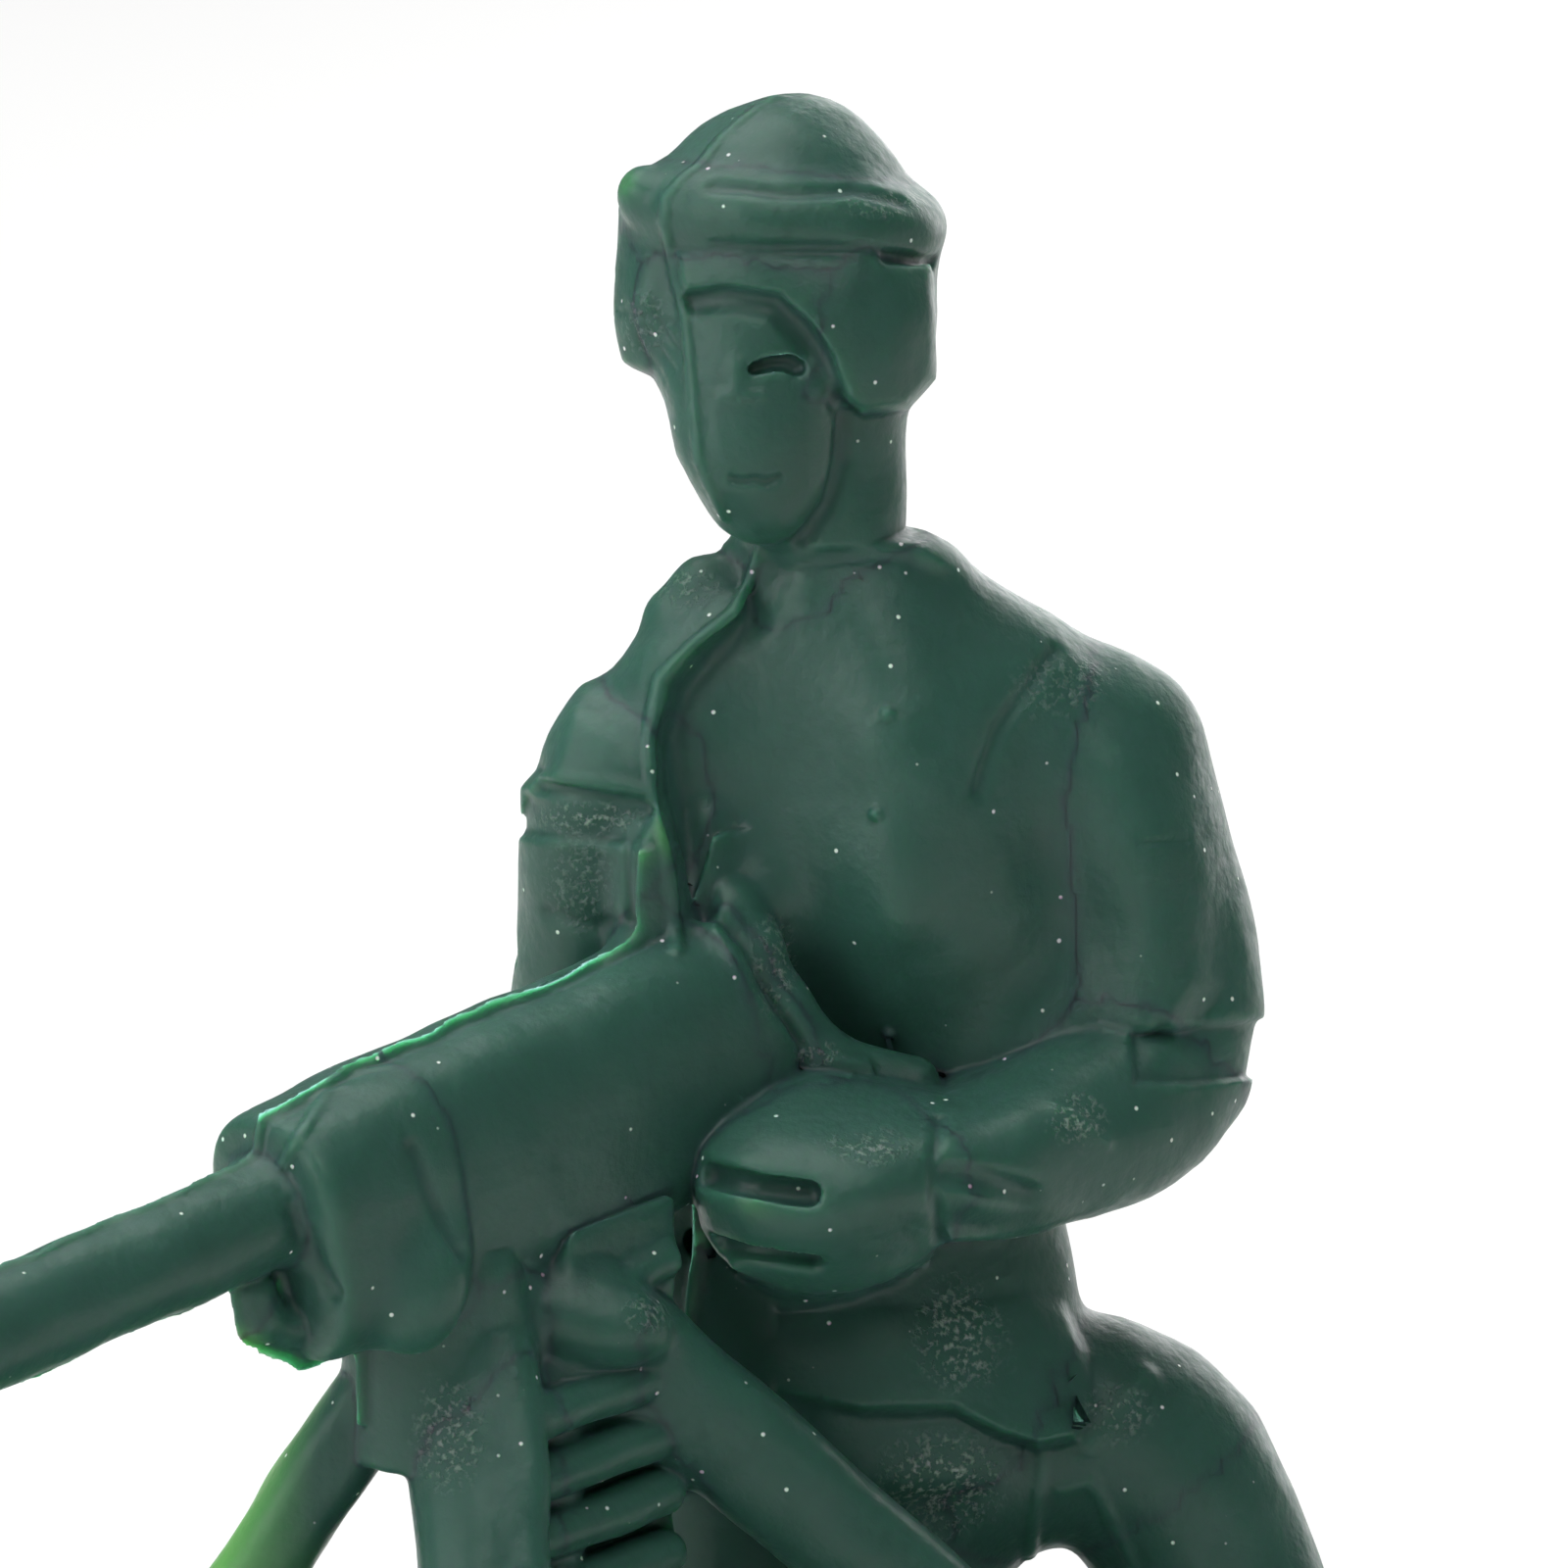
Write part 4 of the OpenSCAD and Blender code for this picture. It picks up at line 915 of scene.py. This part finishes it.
def cleanLabels(labels):
    # specks of one label inside another join what surrounds them
    one, two = facePairs()
    for _ in range(speck["rounds"]):
        inner = labels[one] == labels[two]
        island = np.arange(len(faces))
        while True:
            low = np.minimum(island[one[inner]], island[two[inner]])
            new = island.copy()
            np.minimum.at(new, one[inner], low)
            np.minimum.at(new, two[inner], low)
            new = new[new]
            if np.array_equal(new, island):
                break
            island = new
        size = np.bincount(island, minlength=len(faces))[island]
        biggest = np.zeros(len(nodeNames), int)
        np.maximum.at(biggest, labels, size)
        small = size < np.maximum(speck["faces"], biggest[labels] * speck["share"])
        edge = ~inner & (small[one] != small[two])
        if not edge.any():
            break
        target = {}
        for s, t in zip(one[edge], two[edge]):
            inside, beside = (s, t) if small[s] else (t, s)
            target.setdefault(int(island[inside]), int(labels[beside]))
        for root, label in target.items():
            labels[island == root] = label
    return labels


labels = cleanLabels(labelFaces())
print("labelled")


# Moulded polyethylene: dyed through, waxy and half matt, so edges go pale at a low angle; thin places get a painted
# glow of lighter green for light shining through; handling leaves dull rubbed patches and tiny nicks with painted
# glints
polyethylene = {
    "deep": "#23433A",
    "plain": "#345F54",
    # painted glow of light shining through thin plastic
    "paintedGlow": "#67A653",
    "rubbed": "#87968F",
    # painted glint on the nicks
    "nickAndGlint": "#D5DDD8",
    "ior": 1.51,
    "sheen": 0.28,
    "scatter": 1.4,  # mm that light travels inside
    "scatterShares": (0.35, 1.0, 0.45),  # of red, green and blue
    "cloud": 5.0, "grit": 0.12, "nickCell": 0.4, "grain": 0.25, "swell": 1.4,  # mm, repeats of the patterns
    "nickChance": 0.22,
    "bump": 0.08,  # mm
    "gloss": (0.34, 0.48),  # roughness of smooth and of coarse grain
    "rubbedRoughness": 0.12,  # on top of that
}


def linearColour(hexColour):
    channels = [int(hexColour[k:k + 2], 16) / 255 for k in (1, 3, 5)]
    return [c / 12.92 if c <= 0.04045 else ((c + 0.055) / 1.055) ** 2.4 for c in channels] + [1.0]


def addNode(tree, kind, values=None):
    # values go to attributes or sockets by name, and another node's output is linked
    node = tree.nodes.new(kind)
    for key, value in (values or {}).items():
        if isinstance(value, bpy.types.NodeSocket):
            tree.links.new(value, node.inputs[key])
        elif isinstance(key, str) and hasattr(node, key):
            setattr(node, key, value)
        else:
            node.inputs[key].default_value = value
    return node


def emptyTree(holder):
    holder.use_nodes = True
    holder.node_tree.nodes.clear()
    return holder.node_tree


def spread(tree, value, low, high, least=0.0, most=1.0):
    values = {"Value": value, "From Min": low, "From Max": high, "To Min": least, "To Max": most}
    return addNode(tree, "ShaderNodeMapRange", values).outputs[0]


def combine(tree, operation, *values):
    return addNode(tree, "ShaderNodeMath", {"operation": operation, **dict(enumerate(values))}).outputs[0]


def makePolyethylene():
    material = bpy.data.materials.new("moulded_polyethylene")
    tree = emptyTree(material)
    place = addNode(tree, "ShaderNodeTexCoord").outputs["Object"]
    # share of the painted glow of light through thin plastic
    paintedGlowShare = addNode(tree, "ShaderNodeAttribute", {"attribute_name": "paintedGlow"}).outputs["Fac"]
    rubbedPlace = addNode(tree, "ShaderNodeAttribute", {"attribute_name": "rubbed"}).outputs["Fac"]

    def pattern(name):
        return {"Vector": place, "Scale": 1000 / polyethylene[name]}

    def noise(name, detail, roughness=0.5):
        values = {**pattern(name), "Detail": detail, "Roughness": roughness}
        return addNode(tree, "ShaderNodeTexNoise", values).outputs["Fac"]

    def paint(share, under, name):
        values = {"data_type": "RGBA", 0: share, 6: under, 7: linearColour(polyethylene[name])}
        return addNode(tree, "ShaderNodeMix", values).outputs[2]

    # uneven dye, and a painted glow of lighter green where the plastic is thin
    dye = paint(noise("cloud", 7.0, 0.68), linearColour(polyethylene["deep"]), "plain")
    colour = paint(paintedGlowShare, dye, "paintedGlow")
    # grit inside the rubbed patches
    scuff = combine(tree, "MULTIPLY", spread(tree, noise("grit", 2.0), 0.5, 0.68), rubbedPlace)
    colour = paint(scuff, colour, "rubbed")
    # nicks of about 0.1 mm, in some of the cells of a scatter, raised as bumps and painted pale as glints
    cells = addNode(tree, "ShaderNodeTexVoronoi", pattern("nickCell"))
    lot = addNode(tree, "ShaderNodeSeparateColor", {"Color": cells.outputs["Color"]}).outputs[0]
    chosen = combine(tree, "GREATER_THAN", lot, 1 - polyethylene["nickChance"])
    nickAndGlint = combine(tree, "MULTIPLY", spread(tree, cells.outputs["Distance"], 0.13, 0.07), chosen)
    # pale paint of a glint over each nick
    colour = paint(nickAndGlint, colour, "nickAndGlint")
    # skin grain over swells, with the grit and the nicks standing out
    grain = noise("grain", 4.0)
    lumps = combine(tree, "MULTIPLY_ADD", grain, 0.35, noise("swell", 2.0))
    height = combine(tree, "ADD", combine(tree, "MULTIPLY_ADD", scuff, 1.4, lumps), nickAndGlint)
    bump = addNode(tree, "ShaderNodeBump", {
        "Strength": 0.8, "Distance": polyethylene["bump"] / 1000, "Height": height,
    })
    gloss = spread(tree, grain, 0.3, 0.7, *polyethylene["gloss"])
    shader = addNode(tree, "ShaderNodeBsdfPrincipled", {
        "Base Color": colour,
        "Roughness": combine(tree, "MULTIPLY_ADD", rubbedPlace, polyethylene["rubbedRoughness"], gloss),
        "IOR": polyethylene["ior"],
        "Specular IOR Level": polyethylene["sheen"],
        "Subsurface Weight": 0.9,
        "Subsurface Radius": polyethylene["scatterShares"],
        "Subsurface Scale": polyethylene["scatter"] / 1000,
        "Normal": bump.outputs[0],
    })
    addNode(tree, "ShaderNodeOutputMaterial", {"Surface": shader.outputs[0]})
    return material


moulded = makePolyethylene()


# One piece for each solid, cut from the common skin
def borderLoops(own):
    sides = faceEdges(own)[0].tolist()
    known = set(map(tuple, sides))
    follow = {}
    for s, e in sides:
        if (e, s) not in known:
            follow.setdefault(s, []).append(e)
    loops = []
    while follow:
        start = next(iter(follow))
        loop, here = [start], start
        while True:
            ends = follow[here]
            there = ends.pop()
            if not ends:
                del follow[here]
            if there == start or there not in follow:
                break
            loop.append(there)
            here = there
        if len(loop) > 2:
            loops.append(loop)
    return loops


# A piece's cut is closed by rings that narrow to a point and are kept inside the plastic
finalTree = BVHTree.FromPolygons(skinPoints.tolist(), [list(dict.fromkeys(face)) for face in faces.tolist()])
capForm = {
    "shares": (0.98, 0.94, 0.88, 0.79, 0.66, 0.5, 0.28),  # sizes of the rings beside the cut
    "inset": 0.15, "firstDepth": 0.16, "depth": 0.34, "apexDepth": 0.3,  # mm below the skin
    "again": 0.8,  # share of the depth that is kept after the rings are evened
    "cover": 0.04, "push": 0.1, "rounds": 5,  # mm of plastic over a face, and how much farther it is moved
    "open": 0.01,  # mm, a face with a spot above this would show
}


def sinkPoint(point, depth):
    spot, normal, _, _ = finalTree.find_nearest(Vector(point.tolist()))
    spot, normal = np.array(spot), np.array(normal)
    return spot - normal * depth if (point - spot) @ normal > -depth else point


def sinkRing(ring, depth):
    return np.array([sinkPoint(point, depth) for point in ring])


def capRings(rim, outward):
    inner = rim - outward * capForm["inset"]
    apex = sinkPoint(inner.mean(axis=0), capForm["apexDepth"])
    rings = []
    for share in capForm["shares"]:
        depth = capForm["depth"] if rings else capForm["firstDepth"]
        ring = sinkRing(apex + (inner - apex) * share, depth)
        ring = 0.5 * ring + 0.25 * (np.roll(ring, 1, axis=0) + np.roll(ring, -1, axis=0))
        rings.append(sinkRing(ring, capForm["again"] * depth))
    after = np.roll(inner, -1, axis=0)
    facing = np.cross(inner - after, apex - after).sum(axis=0)
    layers = settleRings(np.stack([rim] + rings + [np.tile(apex, (len(rim), 1))]))
    return layers[1:-1], apex, facing / max(np.linalg.norm(facing), 1e-9)


def settleRings(layers):
    # moves ring points deeper until the middle of each face between two rings is covered by plastic
    for _ in range(capForm["rounds"]):
        after = np.roll(layers, -1, axis=1)
        middles = (layers[:-1] + layers[1:] + after[:-1] + after[1:]) / 4
        moves, hits = np.zeros_like(layers), np.zeros(layers.shape[:2])
        for i, k in np.ndindex(middles.shape[:2]):
            spot, normal, _, _ = finalTree.find_nearest(Vector(middles[i, k].tolist()))
            normal = np.array(normal)
            rise = float((middles[i, k] - np.array(spot)) @ normal)
            if rise > -capForm["cover"]:
                beside = k - layers.shape[1] + 1
                for corner in ((i, k), (i + 1, k), (i, beside), (i + 1, beside)):
                    moves[corner] -= normal * (rise + capForm["push"])
                    hits[corner] += 1
        if not hits.any():
            break
        layers[1:-1] += (moves / np.maximum(hits, 1)[..., None])[1:-1]
    return layers


def buried(corners):
    # which of the cap faces lie inside the plastic, by nine spots on each
    samples = []
    for s, t in np.ndindex(3, 3):
        s, t = 0.17 + 0.33 * s, 0.17 + 0.33 * t
        weights = ((1 - s) * (1 - t), s * (1 - t), s * t, (1 - s) * t)
        samples.append(sum(weight * corners[:, k] for k, weight in enumerate(weights)))
    return (sampleField(np.concatenate(samples)).reshape(9, -1) < capForm["open"]).all(axis=0)


# The far front leg gets a stronger painted glow of light shining through it, more so at its top and far side, in mm
glowingLeg = {
    "name": "tripod_front_leg_far",
    "foot": 2.0, "rise": 9.0, "near": 1.9, "across": 1.6, "least": 0.15, "most": 0.75,
}


def legGlow(points):
    up = np.clip((points[:, 2] - glowingLeg["foot"]) / glowingLeg["rise"], glowingLeg["least"], 1)
    return glowingLeg["most"] * up * np.clip((points[:, 1] - glowingLeg["near"]) / glowingLeg["across"], 0, 1)


def buildPiece(name, own):
    used = np.unique(own)
    renumber = np.full(len(skinPoints), -1)
    renumber[used] = np.arange(len(used))
    points, normals = [skinPoints[used]], [skinNormals[used]]
    # the share of painted glow, and the rubbed wear, kept on the mesh
    values = {"paintedGlow": paintedGlow[used], "rubbed": rubbed[used]}
    # stronger painted glow on the far front leg
    if name == glowingLeg["name"]:
        values["paintedGlow"] = np.maximum(values["paintedGlow"], legGlow(skinPoints[used]))
    caps, count = [], len(used)
    for loop in borderLoops(own):
        rings, apex, facing = capRings(skinPoints[loop], skinNormals[loop])
        rim, size = renumber[loop], len(loop)
        starts = [np.arange(size) + count + k * size for k in range(len(rings))]
        count += len(rings) * size
        for ring in starts + [np.full(size, count)]:
            caps.append(np.stack([np.roll(rim, -1), rim, ring, np.roll(ring, -1)], axis=1))
            rim = ring
        count += 1
        points += [*rings, apex[None]]
        normals.append(np.tile(facing, (len(rings) * size + 1, 1)))
    points, caps = np.vstack(points), np.vstack(caps)
    shown = renumber[own].tolist() + caps[buried(points[caps])].tolist()
    mesh = bpy.data.meshes.new(name)
    mesh.from_pydata((points / 1000).tolist(), [], [list(dict.fromkeys(face)) for face in shown])
    mesh.polygons.foreach_set("use_smooth", np.ones(len(mesh.polygons), bool))
    for key, value in values.items():
        value = np.concatenate([value, np.zeros(count - len(used))]).astype(np.float32)
        mesh.attributes.new(key, "FLOAT", "POINT").data.foreach_set("value", value)
    mesh.update()
    mesh.normals_split_custom_set_from_vertices(np.vstack(normals).tolist())
    mesh.materials.append(moulded)
    piece = bpy.data.objects.new("cast_" + name, mesh)
    scene.collection.objects.link(piece)
    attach(piece, "root")
    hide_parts(name)


for index, nodeName in enumerate(nodeNames):
    buildPiece(nodeName, faces[labels == index])
print("pieces built")


# White light tent: pale floor, large soft lamps above, behind and at the sides
tent = {
    "lamps": [
        {"name": "top", "from": (-20, 60, 260), "size": 260, "watts": 0.68},
        {"name": "right", "from": (230, 90, 90), "size": 200, "watts": 0.38},
        {"name": "left", "from": (-230, 40, 120), "size": 200, "watts": 0.4},
        {"name": "above_front", "from": (-90, -160, 240), "size": 180, "watts": 0.27},
    ],
    "front": 0.08,  # the tent's opening, at the camera
    "behind": 0.21,  # its far wall
    "aim": (0, 0, 22),  # mm
    "floor": "#F2F2F0",
    "floorGlow": 0.7,  # how far the camera sees it as plain white
    "floorReach": 3.0,  # m
}


def makeTent():
    white = {"Color": (1, 1, 1, 1), "Strength": 1.0}
    world = bpy.data.worlds.new("light_tent")
    tree = emptyTree(world)
    seen = addNode(tree, "ShaderNodeLightPath").outputs["Is Camera Ray"]
    place = addNode(tree, "ShaderNodeTexCoord").outputs["Generated"]
    facing = addNode(tree, "ShaderNodeVectorMath", {"operation": "DOT_PRODUCT", 0: place, 1: viewBack.tolist()})
    wall = spread(tree, facing.outputs["Value"], 0.5, -0.9, tent["front"], tent["behind"])
    soft = addNode(tree, "ShaderNodeBackground", {**white, "Strength": wall})
    plain = addNode(tree, "ShaderNodeBackground", white)
    mix = addNode(tree, "ShaderNodeMixShader", {0: seen, 1: soft.outputs[0], 2: plain.outputs[0]})
    addNode(tree, "ShaderNodeOutputWorld", {"Surface": mix.outputs[0]})
    scene.world = world
    for lamp in tent["lamps"]:
        data = bpy.data.lights.new("softbox_" + lamp["name"], "AREA")
        data.shape = "SQUARE"
        data.size = lamp["size"] / 1000
        data.energy = lamp["watts"]
        holder = bpy.data.objects.new(data.name, data)
        spot = Vector(lamp["from"])
        holder.location = spot / 1000
        holder.rotation_euler = (spot - Vector(tent["aim"])).to_track_quat("Z", "Y").to_euler()
        scene.collection.objects.link(holder)
    mesh = bpy.data.meshes.new("tent_floor")
    far = tent["floorReach"]
    mesh.from_pydata([(-far, -far, 0), (far, -far, 0), (far, far, 0), (-far, far, 0)], [], [(0, 1, 2, 3)])
    floor = bpy.data.objects.new("tent_floor", mesh)
    scene.collection.objects.link(floor)
    material = bpy.data.materials.new("matt_white_card")
    tree = emptyTree(material)
    seen = addNode(tree, "ShaderNodeLightPath").outputs["Is Camera Ray"]
    card = addNode(tree, "ShaderNodeBsdfDiffuse", {"Color": linearColour(tent["floor"])})
    plain = addNode(tree, "ShaderNodeEmission", white)
    share = combine(tree, "MULTIPLY", seen, tent["floorGlow"])
    mix = addNode(tree, "ShaderNodeMixShader", {0: share, 1: card.outputs[0], 2: plain.outputs[0]})
    addNode(tree, "ShaderNodeOutputMaterial", {"Surface": mix.outputs[0]})
    mesh.materials.append(material)


makeTent()
scene.view_settings.view_transform = "Standard"
